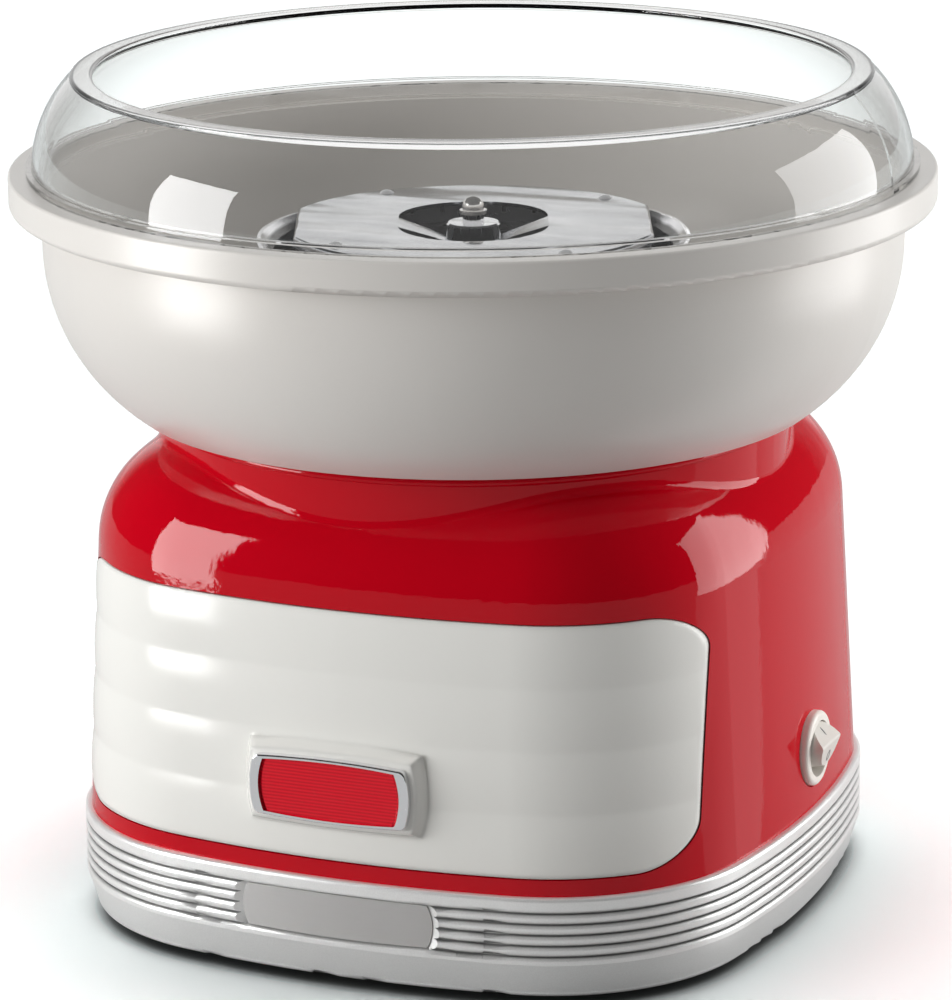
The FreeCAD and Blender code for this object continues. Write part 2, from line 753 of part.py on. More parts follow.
def label_block(name, margin, end_slope, side_slope):
    """A block with the label's outline at the recess's floor, grown by margin there and sloping
    outwards by end_slope and side_slope over the recess's depth."""
    body = new_body(name)
    sagitta = side_radius - root(side_radius * side_radius - label_half_width * label_half_width)
    floor = base_half_width - sagitta - label_recess_depth
    for step, sketch_name in ((-1, name + "Back"), (2, name + "Front")):
        face = new_sketch(body, sketch_name, "XZ_Plane", floor + label_recess_depth * step)
        barrel(face, label_half_width + margin + end_slope * step,
               label_height + (margin + side_slope * step) * 2, label_end_bulge,
               label_side_bulge + margin, label_centre_height)
    loft(body, [document.getObject(name + "Back"), document.getObject(name + "Front")])
    return body


def make_base_skirt():
    """A ribbed band over a tapered foot, with a ledge on top: one section swept round the plan."""
    body = new_body("base_skirt_body")
    half_gap = bead_gap / 2
    bead_top = base_top - top_bead_height
    ledge_bottom = base_top - ledge_thickness
    hem_inset = base_taper * ((base_taper_height - base_hem) / base_taper_height)

    def at(inset, height):
        return (inset - base_half_width, height)

    points = [
        at(base_taper + base_hem, base_lift), at(base_taper + base_wall, base_lift),
        at(base_wall, taper_top), at(base_wall, ledge_bottom), at(ledge_width, ledge_bottom),
        at(ledge_width, base_top), (*at(bead_depth, base_top), bead_depth),
        at(zero, base_top - bead_depth)]
    groove = bead_top
    for _ in range(bead_count + 1):
        points += [
            (*at(zero, groove + half_gap + bead_depth), bead_depth), at(bead_depth, groove + half_gap),
            (*at(bead_depth, groove - half_gap), bead_depth), at(zero, groove - half_gap - bead_depth)]
        groove = groove - bead_pitch
    points += [at(zero, taper_top), (*at(hem_inset, base_lift + base_hem), base_hem)]
    sweep_round(body, "Skirt", points, base_half_width, base_corner_radius, 6)

    for index, (across, along) in enumerate(corner_places(post_offset)):
        post = new_sketch(body, f"Post{index}", "XY_Plane", plate_top)
        pad(body, circle(post, across, along, post_radius), ledge_bottom - plate_top + ledge_thickness / 2)
        hole = new_sketch(body, f"PostHole{index}", "XY_Plane", plate_top)
        pocket_through(body, circle(hole, across, along, screw_radius + screw_gap))
    recess = solid("Common", "LabelRecess",
                   Base=base_front("LabelRecessStrip", label_recess_depth, -base_wall),
                   Tool=label_block("LabelRecessBlock", label_gap, label_end_slope, label_side_slope))
    return keep("base_skirt", cut("base_skirt_cut", body, recess))


def make_name_plate():
    strip = base_front("NamePlateStrip", label_recess_depth, label_recess_depth - label_thickness)
    block = label_block("NamePlateBlock", zero, zero, zero)
    return keep("name_plate", solid("Common", "name_plate_common", Base=strip, Tool=block))


def make_bottom_plate():
    body = new_body("bottom_plate_body")
    inset = base_half_width - plate_half_width
    pad(body, plan_at(body, "PlatePlan", plate_bottom, inset), plate_thickness)
    for index, (across, along) in enumerate(corner_places(foot_offset)):
        peg_hole = new_sketch(body, f"PegHole{index}", "XY_Plane", plate_top)
        pocket_through(body, circle(peg_hole, across, along, foot_peg_radius + pin_clearance))
    for index, (across, along) in enumerate(corner_places(post_offset)):
        screw_hole = new_sketch(body, f"ScrewHole{index}", "XY_Plane", plate_top)
        pocket_through(body, circle(screw_hole, across, along, screw_radius + screw_gap))
        seat = new_sketch(body, f"ScrewSeat{index}", "XY_Plane", plate_bottom + screw_head_height)
        pocket(body, circle(seat, across, along, screw_head_radius + screw_gap), screw_head_height)
    vent = new_sketch(body, "Vent", "XY_Plane", plate_top)
    first = -vent_pitch * ((vent_count - 1) / 2)
    half_width = vent_width / 2
    half_run = (vent_length - vent_width) / 2
    outline(vent, [
        (-half_run, first - half_width), (half_run, first - half_width, half_width),
        (half_run + half_width, first, half_width), (half_run, first + half_width),
        (-half_run, first + half_width, half_width), (-half_run - half_width, first, half_width)])
    slot = pocket_through(body, vent)
    pattern_along(body, [slot], "Y_Axis", vent_count, vent_pitch, "Vents")
    return keep("bottom_plate", body)


def make_rubber_feet():
    feet = []
    for index, (across, along) in enumerate(corner_places(foot_offset)):
        sole = rod(f"FootPad{index}", foot_radius, zero, foot_height, across, along)
        peg = rod(f"FootPeg{index}", foot_peg_radius, foot_height, plate_top, across, along)
        head = rod(f"FootPegHead{index}", foot_peg_head, plate_top, plate_top + plate_thickness / 2,
                   across, along)
        feet.append(fuse(f"Foot{index}", [sole, peg, head]))
    return keep("rubber_feet", group("rubber_feet_group", feet))


def make_body_screws():
    """Long screws from the bottom plate up through the base's posts into the housing's bosses."""
    screws = []
    tip = base_top + body_screw_grip
    for index, (across, along) in enumerate(corner_places(post_offset)):
        head = rod(f"BodyScrewHead{index}", screw_head_radius, plate_bottom,
                   plate_bottom + screw_head_height, across, along)
        shank = rod(f"BodyScrewShank{index}", screw_radius, plate_bottom, tip, across, along)
        screws.append(fuse(f"BodyScrew{index}", [head, shank]))
    return keep("body_screws", group("body_screws_group", screws))


def make_terminal_block():
    """Three-way block on the bottom plate, behind the motor."""
    body = new_body("terminal_block_body")
    plan = new_sketch(body, "BlockPlan", "XY_Plane", plate_top)
    low = block_reach - block_width / 2
    rectangle(plan, -block_length / 2, block_length / 2, low, low + block_width)
    pad(body, plan, block_height)
    for row, shift in enumerate((-1, 1)):
        well = new_sketch(body, f"BlockWell{row}", "XY_Plane", plate_top + block_height)
        circle(well, -block_pitch, block_reach + block_well_offset * shift, block_screw_radius)
        hole = pocket(body, well, block_screw_depth)
        pattern_along(body, [hole], "X_Axis", 3, block_pitch, f"BlockWells{row}")
    return keep("terminal_block", body)


# ---------------------------------------------------------------------------------------------
# Housing, front panel and badge
# ---------------------------------------------------------------------------------------------

def housing_plan(body, name, height, inset):
    return plan_at(body, name, height, inset, housing_half_width, housing_corner_radius)


def draft_at(height):
    """How far the housing's side has leaned inwards at a height."""
    return (height - base_top) * sine(draft_angle) / cosine(draft_angle)


def housing_form(name, inset):
    """The housing's outer form, leaning sides and a round shoulder, moved inwards by inset."""
    body = new_body(name)
    inset = as_size(inset)
    radius = shoulder_radius - inset
    tangent_height = shoulder_centre + shoulder_radius * sine(draft_angle)
    centre_inset = draft_at(tangent_height) + shoulder_radius * cosine(draft_angle)
    sections = []
    for step in range(shoulder_steps + 1):
        angle = draft_angle + (as_size(90) - draft_angle) * (step / shoulder_steps)
        sections.append(housing_plan(body, f"{name}Shoulder{step}",
                                     shoulder_centre + radius * sine(angle),
                                     centre_inset - radius * cosine(angle)))
    foot = housing_plan(body, name + "Foot", base_top, inset / cosine(draft_angle))
    loft(body, [foot, sections[0]])
    feature(body, "AdditiveLoft", name + "Shoulders", Profile=sections[0], Sections=sections[1:])
    return body


def front_strip(name, inner_inset, margin, outer_points):
    """A strip round the housing's front and both front corners, as far beyond the panel's top and
    bottom edges as margin, between inner_inset below the housing's face and outer_points."""
    body = new_body(name)
    low = panel_bottom - margin
    high = panel_top + margin
    sweep_round(body, name, [at_face(inner_inset, low), at_face(inner_inset, high)] + outer_points,
                housing_half_width, housing_corner_radius, 3)
    return body


def at_face(inset, height):
    """A point of the YZ plane at a height, inset below the housing's leaning front face."""
    return (inset / cosine(draft_angle) + draft_at(height) - housing_half_width, height)


def window_prism(name, margin):
    """A block in front of the machine with the front panel's outline, grown all round by margin."""
    body = new_body(name)
    sketch = new_sketch(body, name + "Outline", "XZ_Plane")
    side = panel_half_width + margin
    low = panel_bottom - margin
    high = panel_top + margin
    corner = panel_corner_radius + margin
    outline(sketch, [
        (-side + corner, low), (side - corner, low, corner), (side, low + corner),
        (side, high - corner, corner), (side - corner, high), (-side + corner, high, corner),
        (-side, high - corner), (-side, low + corner, corner)])
    pad(body, sketch, base_half_width * 1.2)
    return body


def on_neck(edge):
    """True for the edges where the neck's outside meets the shoulders."""
    step = (edge.LastParameter - edge.FirstParameter) / 4
    spots = [edge.valueAt(edge.FirstParameter + step * index) for index in range(1, 4)]
    round_it = all(abs(math.hypot(spot.x, spot.y) - neck_radius.value) < 0.02 for spot in spots)
    box = edge.BoundBox
    return round_it and box.ZMin > shoulder_centre.value and box.ZMax < neck_top.value - 0.5


def make_housing_shell():
    """Outer form with a neck blended into its shoulders, hollowed, with the deck that carries the pot."""
    body = housing_form("HousingOuter", zero)
    ring = new_sketch(body, "NeckRing", "XZ_Plane")
    revolve(body, rectangle(ring, neck_inner, neck_radius, shoulder_centre, neck_top))
    fillet(body, neck_blend, "NeckBlend", on_neck)
    cavity = housing_form("HousingCavity", housing_wall)
    hollowed = feature(body, "Boolean", "HousingHollowed", Type="Cut")
    hollowed.Group = [cavity]
    mouth = new_sketch(body, "NeckMouth", "XY_Plane", neck_top)
    pocket(body, circle(mouth, zero, zero, neck_inner), housing_top - base_top)
    neck_middle = neck_radius - neck_wall / 2
    deck = new_sketch(body, "Deck", "XZ_Plane")
    revolve(body, rectangle(deck, pot_inner, neck_middle, deck_bottom, deck_top))
    half_bead = neck_bead_height / 2
    bead_round = (half_bead * half_bead + neck_bead * neck_bead) / (neck_bead * 2)
    bead = new_sketch(body, "NeckBead", "XZ_Plane")
    revolve(body, outline(bead, [
        (neck_middle, neck_top - neck_bead_height),
        (neck_radius, neck_top - neck_bead_height, bead_round),
        (neck_radius, neck_top), (neck_middle, neck_top)]))

    for index, (across, along) in enumerate(corner_places(post_offset)):
        boss = new_sketch(body, f"Boss{index}", "XY_Plane", base_top)
        pad(body, circle(boss, across, along, housing_boss_radius), housing_boss_height)
        hole = new_sketch(body, f"BossHole{index}", "XY_Plane", base_top)
        pocket(body, circle(hole, across, along, screw_radius + pin_clearance),
               boss_hole_depth, Reversed=True)
    for index, (across, along) in enumerate(ring_places(pot_screw_circle, 4, 0.0)):
        hole = new_sketch(body, f"PotScrewHole{index}", "XY_Plane", deck_top)
        pocket(body, circle(hole, across, along, screw_radius + pin_clearance), deck_thickness * 2)
    for index, (across, along) in enumerate(ring_places(bracket_screw_circle, 4, bracket_screw_angle)):
        hole = new_sketch(body, f"BracketScrewHole{index}", "XY_Plane", deck_bottom)
        pocket(body, circle(hole, across, along, screw_radius + pin_clearance),
               bracket_hole_depth, Reversed=True)

    # Round seat and hole for the switch, and the same for the grommet
    seat = new_sketch(body, "SwitchSeat", "YZ_Plane", switch_seat())
    pocket(body, circle(seat, switch_offset, switch_height, switch_flange_radius + panel_gap),
           base_wall * 4, Reversed=True)
    hole = new_sketch(body, "SwitchHole", "YZ_Plane", switch_seat())
    pocket(body, circle(hole, switch_offset, switch_height, switch_barrel_radius + switch_hole_gap),
           base_wall * 4)
    rear_seat = new_sketch(body, "GrommetSeat", "XZ_Plane", -grommet_seat())
    pocket(body, circle(rear_seat, zero, grommet_height, grommet_flange_radius + panel_gap),
           base_wall * 4)
    rear_hole = new_sketch(body, "GrommetHole", "XZ_Plane", -grommet_seat())
    pocket(body, circle(rear_hole, zero, grommet_height, grommet_neck + grommet_gap),
           base_wall * 4, Reversed=True)

    margin = panel_gap * 2
    beyond = -panel_recess
    strip = front_strip("RecessStrip", panel_recess, margin,
                        [at_face(beyond, panel_top + margin), at_face(beyond, panel_bottom - margin)])
    recess = solid("Common", "PanelRecess", Base=window_prism("PanelWindow", panel_gap), Tool=strip)
    return keep("housing_shell", cut("housing_shell_cut", body, recess))


def make_front_panel():
    """A skin with level flutes, and a sloped pad on it for the badge."""
    pitch = panel_height / flute_count
    half_chord = pitch / cosine(draft_angle) / 2
    flute_radius = (half_chord * half_chord + flute_depth * flute_depth) / (flute_depth * 2)
    trough = panel_recess - panel_thickness + flute_depth
    flutes = [(*at_face(trough, panel_top - pitch * index), flute_radius)
              for index in range(flute_count)]
    skin = front_strip("PanelSkin", panel_recess, zero, flutes + [at_face(trough, panel_bottom)])
    wrapped = solid("Common", "PanelWrapped", Base=skin, Tool=window_prism("PanelOutline", zero))
    surface = badge_front() - badge_pad_height
    body = new_body("BadgePad")
    root_face = new_sketch(body, "BadgePadRoot", "XZ_Plane", surface - panel_recess / 2)
    wide = badge_pad_margin + badge_pad_flare
    barrel(root_face, badge_half_width + wide, badge_height + wide * 2, badge_end_bulge,
           badge_side_bulge, badge_centre_height)
    front_face = new_sketch(body, "BadgePadFront", "XZ_Plane", badge_front())
    barrel(front_face, badge_half_width + badge_pad_margin, badge_height + badge_pad_margin * 2,
           badge_end_bulge, badge_side_bulge, badge_centre_height)
    loft(body, [root_face, front_face])
    return keep("front_panel", fuse("front_panel_fuse", [wrapped, body]))


def badge_front():
    return housing_half_width - draft_at(badge_centre_height) + badge_pad_height


def make_badge_frame():
    body = new_body("badge_frame_body")
    face = new_sketch(body, "BadgeFrameOutline", "XZ_Plane", badge_front())
    barrel(face, badge_half_width, badge_height, badge_end_bulge, badge_side_bulge, badge_centre_height)
    pad(body, face, badge_frame_depth)
    fillet(body, badge_corner, "BadgeCorners",
           lambda edge: edge.BoundBox.YLength > badge_frame_depth.value * 0.9
           and edge.BoundBox.XLength < 0.01)
    front = badge_front() + badge_frame_depth
    fillet(body, badge_rim_round, "BadgeRound",
           lambda edge: abs(edge.BoundBox.YMax + front.value) < 0.01)
    opening = new_sketch(body, "BadgeOpening", "XZ_Plane", badge_front())
    pocket_through(body, lens_outline(opening))
    return keep("badge_frame", body)


def lens_outline(sketch):
    return barrel(sketch, badge_half_width - badge_end_rim, badge_height - badge_side_rim * 2,
                  badge_end_bulge, badge_side_bulge, badge_centre_height)


def make_badge_lens():
    body = new_body("badge_lens_body")
    face = new_sketch(body, "BadgeLensOutline", "XZ_Plane", badge_front())
    pad(body, lens_outline(face), badge_frame_depth - badge_lens_drop)
    document.recompute()
    front = badge_front() + badge_frame_depth - badge_lens_drop
    names = [f"Edge{index + 1}" for index, edge in enumerate(body.Tip.Shape.Edges)
             if abs(edge.BoundBox.YMax + front.value) < 0.01 and edge.BoundBox.ZLength > edge.BoundBox.XLength]
    feature(body, "Chamfer", "LensBevel", Base=(body.Tip, names), Size=badge_lens_bevel)
    return keep("badge_lens", body)


# ---------------------------------------------------------------------------------------------
# Switch and cord inlet
# ---------------------------------------------------------------------------------------------

def switch_seat():
    """How far out the flat seat of the switch lies, a little below the housing's face."""
    return housing_half_width - draft_at(switch_height) - switch_seat_depth


def grommet_seat():
    return housing_half_width - draft_at(grommet_height) - grommet_seat_depth


def to_side(body):
    """Turns a piece built about +Z so that its +Z points out of the +X side at the switch."""
    return place(body, switch_seat(), switch_offset, switch_height, as_size(90), (0, 1, 0))


def rocker_pivot():
    """Height of the rocker's pivot in the switch's own frame, below its seat face."""
    return -rocker_pivot_drop


def make_switch_bezel():
    body = new_body("switch_bezel_body")
    section = new_sketch(body, "BezelSection", "XZ_Plane")
    flange_round = switch_flange_thickness * 0.5
    barrel_end = -switch_barrel_length
    outline(section, [
        (0, barrel_end), (switch_barrel_radius, barrel_end), (switch_barrel_radius, 0),
        (switch_flange_radius, 0),
        (switch_flange_radius, switch_flange_thickness - flange_round, flange_round),
        (switch_flange_radius - flange_round, switch_flange_thickness),
        (switch_aperture_radius, switch_flange_thickness),
        (switch_aperture_radius, barrel_end + switch_back_thickness),
        (0, barrel_end + switch_back_thickness)])
    revolve(body, section)
    pin_hole = new_sketch(body, "PinHole", "XZ_Plane")
    pocket_through(body, circle(pin_hole, zero, rocker_pivot(), rocker_pin_radius))
    return keep("switch_bezel", to_side(body))


def make_rocker_pin():
    body = new_body("rocker_pin_body")
    section = new_sketch(body, "PinSection", "XZ_Plane")
    pad(body, circle(section, zero, rocker_pivot(), rocker_pin_radius), switch_barrel_radius * 1.94,
        Midplane=True)
    return keep("rocker_pin", to_side(body))


def make_switch_rocker():
    """A round rocker with a ridged front, tilted so that its lower half stands out."""
    body = new_body("switch_rocker_body")
    radius = switch_aperture_radius - rocker_gap
    back = -rocker_depth
    edge_height = rocker_ridge - rocker_half_length * sine(rocker_slope) / cosine(rocker_slope)
    side = new_sketch(body, "RockerSide", "XZ_Plane")
    crest_height = rocker_ridge - rocker_crest * sine(rocker_slope) / cosine(rocker_slope)
    shoulder = edge_height - rocker_shoulder
    outline(side, [
        (-rocker_belly, back), (rocker_belly, back), (rocker_half_length, shoulder),
        (rocker_half_length, edge_height),
        (rocker_crest, crest_height, rocker_crest / sine(rocker_slope)),
        (-rocker_crest, crest_height), (-rocker_half_length, edge_height),
        (-rocker_half_length, shoulder)])
    pad(body, side, radius * 2, Midplane=True)
    swing = (switch_flange_thickness + rocker_pivot_drop) * sine(rocker_tilt) / cosine(rocker_tilt)
    tip = root(radius * radius - swing * swing)
    trim = new_sketch(body, "RockerRound", "XY_Plane", back - 1)
    rectangle(trim, -radius * 2, radius * 2, -radius * 2, radius * 2)
    outline(trim, [(0, -tip, radius), (0, tip, radius)])
    pocket(body, trim, rocker_ridge * 2 + rocker_depth * 2, Reversed=True)
    bore = new_sketch(body, "RockerBore", "XZ_Plane")
    pocket_through(body, circle(bore, zero, zero, rocker_pin_radius + pin_clearance))
    pivot_reach = switch_seat() + rocker_pivot()
    place(body, pivot_reach, switch_offset, switch_height, as_size(90) - rocker_tilt, (0, 1, 0))
    return keep("switch_rocker", body)


def make_switch_contacts():
    """Three flat blades out of the back of the switch."""
    back = switch_seat() - switch_barrel_length
    blades = []
    for index in range(3):
        blade = solid("Box", f"Blade{index}", Length=contact_length, Width=contact_width,
                      Height=contact_thickness)
        level = switch_height + contact_spacing * (index - 1)
        blades.append(place(blade, back - contact_length, switch_offset - contact_width / 2, level))
    return keep("switch_contacts", group("switch_contacts_group", blades))


def make_cord_grommet():
    body = new_body("cord_grommet_body")
    section = new_sketch(body, "GrommetSection", "XZ_Plane")
    rear = grommet_flange_radius
    inner_lip = rear - grommet_lip_step
    inside = -grommet_grip - grommet_flange_thickness
    outline(section, [
        (grommet_bore, inside), (inner_lip, inside), (inner_lip, -grommet_grip),
        (grommet_neck, -grommet_grip), (grommet_neck, 0), (rear, 0),
        (rear, grommet_flange_thickness / 2, grommet_flange_thickness),
        (rear - grommet_flange_thickness, grommet_flange_thickness * 1.5),
        (grommet_bore, grommet_flange_thickness * 1.5)])
    revolve(body, section)
    place(body, zero, grommet_seat(), grommet_height, as_size(-90), (1, 0, 0))
    return keep("cord_grommet", body)


# ---------------------------------------------------------------------------------------------
# Bowl, guard and gasket
# ---------------------------------------------------------------------------------------------

def make_bowl_gasket():
    inner = bowl_ring_radius - bowl_ring_wall
    top = deck_top + gasket_thickness
    return turned_piece("bowl_gasket", [
        (inner, deck_top), (bowl_ring_radius, deck_top), (bowl_ring_radius, top), (inner, top)])


def make_bowl():
    curve_centre = bowl_radius - bowl_curve_radius
    bottom_radius = curve_centre + root(
        bowl_curve_radius * bowl_curve_radius - bowl_curve_rise * bowl_curve_rise)
    inner_curve = bowl_curve_radius - bowl_wall
    inner_drop = bowl_curve_rise - bowl_wall
    floor_radius = curve_centre + root(inner_curve * inner_curve - inner_drop * inner_drop)
    floor = bowl_bottom_height + bowl_wall
    ring_inner = bowl_ring_radius - bowl_ring_wall
    ring_bottom = deck_top + gasket_thickness
    lip_bottom = bowl_rim_height - lip_height
    inner_radius = bowl_radius - bowl_wall
    collar_top = floor + bowl_collar_height
    edge = lip_edge_round
    return turned_piece("bowl", [
        (bowl_hole_radius, bowl_bottom_height), (ring_inner, bowl_bottom_height),
        (ring_inner, ring_bottom), (bowl_ring_radius, ring_bottom),
        (bowl_ring_radius, bowl_bottom_height), (bottom_radius, bowl_bottom_height, bowl_curve_radius),
        (bowl_radius, bowl_curve_height), (bowl_radius, lip_bottom),
        (lip_radius - lip_round, lip_bottom, lip_round), (lip_radius, lip_bottom + lip_round),
        (lip_radius, bowl_rim_height - edge, edge), (lip_radius - edge, bowl_rim_height),
        (lip_inner_radius, bowl_rim_height), (lip_inner_radius, bowl_rim_height - lip_inner_drop),
        (inner_radius, bowl_rim_height - lip_inner_drop),
        (inner_radius, bowl_curve_height, -inner_curve), (floor_radius, floor),
        (bowl_hole_radius + bowl_wall, floor),
        (bowl_hole_radius + bowl_wall, collar_top - bowl_wall / 2, bowl_wall / 2),
        (bowl_hole_radius + bowl_wall / 2, collar_top, bowl_wall / 2),
        (bowl_hole_radius, collar_top - bowl_wall / 2)])


def make_splash_guard():
    """Clear ring: a spigot inside the lip, a foot on it and a wall that curves in to a beaded rim."""
    seat = bowl_rim_height
    curve_centre = guard_radius - guard_curve_radius
    inner_curve = guard_curve_radius - guard_wall
    top = seat + guard_height
    edge = guard_edge_round
    rise = guard_height - edge
    inner_rise = guard_height - guard_rim_height
    outer_top = curve_centre + root(guard_curve_radius * guard_curve_radius - rise * rise)
    inner_top = curve_centre + root(inner_curve * inner_curve - inner_rise * inner_rise)
    foot_top = seat + guard_wall
    inner_foot = curve_centre + root(inner_curve * inner_curve - guard_wall * guard_wall)
    outer_foot = curve_centre + root(guard_curve_radius * guard_curve_radius - guard_wall * guard_wall)
    spigot = lip_inner_radius - guard_gap
    rim_round = guard_rim_height / 2
    mouth_radius = outer_top - guard_rim_width
    rim_edge = mouth_radius + rim_round
    rim_bottom = top - guard_rim_height
    return turned_piece("splash_guard", [
        (spigot - guard_wall, seat - guard_spigot_depth), (spigot, seat - guard_spigot_depth),
        (spigot, seat), (outer_foot + guard_foot_width, seat),
        (outer_foot + guard_foot_width, foot_top), (outer_foot, foot_top, guard_curve_radius),
        (outer_top, top - edge, edge), (outer_top - edge, top), (rim_edge, top, rim_round),
        (mouth_radius, top - rim_round, rim_round), (rim_edge, rim_bottom),
        (inner_top, rim_bottom, -inner_curve), (inner_foot, foot_top),
        (spigot - guard_wall, foot_top)])


# ---------------------------------------------------------------------------------------------
# Heater
# ---------------------------------------------------------------------------------------------

def heater_legs():
    """Both ends of the heating tube leave the ring at the back, side by side."""
    return [(heater_ring_radius * sine(shift), heater_ring_radius * cosine(shift))
            for shift in (-heater_leg_angle, heater_leg_angle)]


def make_heater_pot():
    body = new_body("heater_pot_body")
    flange_top = deck_top + sheet_metal
    flare_foot = pot_rim_height - pot_rim_flare
    section = new_sketch(body, "PotSection", "XZ_Plane")
    outline(section, [
        (pot_inner, deck_top), (pot_flange_radius, deck_top), (pot_flange_radius, flange_top),
        (pot_radius, flange_top), (pot_radius, flare_foot),
        (pot_rim_radius, pot_rim_height - sheet_metal), (pot_rim_radius, pot_rim_height),
        (pot_rim_radius - sheet_metal, pot_rim_height), (pot_inner, flare_foot + sheet_metal),
        (pot_inner, pot_floor_top), (pot_tube_radius + sheet_metal, pot_floor_top),
        (pot_tube_radius + sheet_metal, pot_floor_top + pot_tube_height),
        (pot_tube_radius, pot_floor_top + pot_tube_height), (pot_tube_radius, pot_floor_height),
        (pot_inner, pot_floor_height)])
    revolve(body, section)
    for index, (across, along) in enumerate(ring_places(pot_screw_circle, 4, 0.0)):
        hole = new_sketch(body, f"FlangeHole{index}", "XY_Plane", flange_top)
        pocket(body, circle(hole, across, along, screw_radius + screw_gap), sheet_metal * 2)
    for index, (across, along) in enumerate(heater_legs()):
        hole = new_sketch(body, f"LegHole{index}", "XY_Plane", pot_floor_top)
        pocket(body, circle(hole, across, along, insulator_neck_radius), sheet_metal * 2)
    return keep("heater_pot", body)


def make_pot_screws():
    screws = []
    flange_top = deck_top + sheet_metal
    for index, (across, along) in enumerate(ring_places(pot_screw_circle, 4, 0.0)):
        head = rod(f"PotScrewHead{index}", screw_head_radius, flange_top,
                   flange_top + screw_head_height, across, along)
        shank = rod(f"PotScrewShank{index}", screw_radius, flange_top - pot_screw_length, flange_top,
                    across, along)
        screws.append(fuse(f"PotScrew{index}", [head, shank]))
    return keep("pot_screws", group("pot_screws_group", screws))


def make_heating_element():
    ring = solid("Torus", "HeaterRing", Radius1=heater_ring_radius, Radius2=heater_tube_radius)
    place(ring, up=heater_level)
    legs = [rod(f"HeaterLeg{index}", heater_leg_radius, pot_floor_height - heater_leg_drop,
                heater_level, across, along)
            for index, (across, along) in enumerate(heater_legs())]
    return keep("heating_element", fuse("heating_element_fuse", [ring] + legs))


def make_ceramic_insulators():
    """Three posts under the ring and a sleeve round each leg where it passes the pot's floor."""
    pieces = [rod(f"CeramicPost{index}", insulator_radius, pot_floor_top,
                  pot_floor_top + heater_standoff, across, along)
              for index, (across, along) in enumerate(
                  ring_places(heater_ring_radius, 3, insulator_start_angle))]
    for index, (across, along) in enumerate(heater_legs()):
        low = pot_floor_height - insulator_overhang
        neck = rod(f"SleeveNeck{index}", insulator_neck_radius, pot_floor_height, pot_floor_top,
                   across, along)
        below = rod(f"SleeveBelow{index}", insulator_radius, low, pot_floor_height, across, along)
        outer = fuse(f"SleeveOuter{index}", [neck, below])
        bore = rod(f"SleeveBore{index}", heater_leg_radius + pin_clearance, low - 1, pot_floor_top + 1,
                   across, along)
        pieces.append(cut(f"Sleeve{index}", outer, bore))
    return keep("ceramic_insulators", group("ceramic_insulators_group", pieces))


def make_thermostat():
    low = pot_floor_height - thermostat_height
    step = low + thermostat_foot_height
    can = rod("ThermostatCan", thermostat_radius, step, pot_floor_height, thermostat_reach, zero)
    foot = rod("ThermostatFoot", thermostat_foot_radius, low, step, thermostat_reach, zero)
    return keep("thermostat", fuse("thermostat_fuse", [can, foot]))


def make_thermal_fuse():
    barrel_piece = solid("Cylinder", "FuseBarrel", Radius=fuse_radius, Height=fuse_length)
    place(barrel_piece, -fuse_reach, -fuse_length / 2, pot_floor_height - fuse_radius, as_size(-90),
          (1, 0, 0))
    return keep("thermal_fuse", barrel_piece)


# ---------------------------------------------------------------------------------------------
# Motor
# ---------------------------------------------------------------------------------------------

def make_motor_bracket():
    body = new_body("motor_bracket_body")
    disc = new_sketch(body, "BracketDisc", "XY_Plane", bracket_bottom)
    circle(disc, zero, zero, bracket_radius)
    circle(disc, zero, zero, bearing_radius + screw_gap)
    pad(body, disc, bracket_thickness)
    window = new_sketch(body, "BracketWindow", "XY_Plane", bracket_top)
    hole = pocket(body, circle(window, bracket_window_circle, zero, bracket_window_radius),
                  bracket_thickness * 2)
    pattern_round(body, [hole], 4, "BracketWindows")
    for index, (across, along) in enumerate(ring_places(bracket_screw_circle, 4, bracket_screw_angle)):
        drill = new_sketch(body, f"BracketHole{index}", "XY_Plane", bracket_top)
        pocket(body, circle(drill, across, along, screw_radius + screw_gap), bracket_thickness * 2)
    return keep("motor_bracket", body)


def make_rubber_bushes():
    bushes = []
    for index, (across, along) in enumerate(ring_places(bracket_screw_circle, 4, bracket_screw_angle)):
        outer = rod(f"BushOuter{index}", bush_radius, bracket_top, deck_bottom, across, along)
        bore = rod(f"BushBore{index}", screw_radius + screw_gap, bracket_top - 1, deck_bottom + 1,
                   across, along)
        bushes.append(cut(f"Bush{index}", outer, bore))
    return keep("rubber_bushes", group("rubber_bushes_group", bushes))


def make_motor_screws():
    screws = []
    tip = deck_bottom + motor_screw_grip
    for index, (across, along) in enumerate(ring_places(bracket_screw_circle, 4, bracket_screw_angle)):
        head = rod(f"MotorScrewHead{index}", screw_head_radius, bracket_bottom - screw_head_height,
                   bracket_bottom, across, along)
        shank = rod(f"MotorScrewShank{index}", screw_radius, bracket_bottom, tip, across, along)
        screws.append(fuse(f"MotorScrew{index}", [head, shank]))
    return keep("motor_screws", group("motor_screws_group", screws))


def make_motor_can():
    inner = motor_radius - motor_wall
    return turned_piece("motor_can", [
        (inner, motor_bottom), (motor_radius, motor_bottom), (motor_radius, motor_top),
        (bearing_radius, motor_top), (bearing_radius, motor_top - motor_wall),
        (inner, motor_top - motor_wall)])


def brush_level():
    return motor_bottom - end_cap_thickness + bearing_height + brush_lift


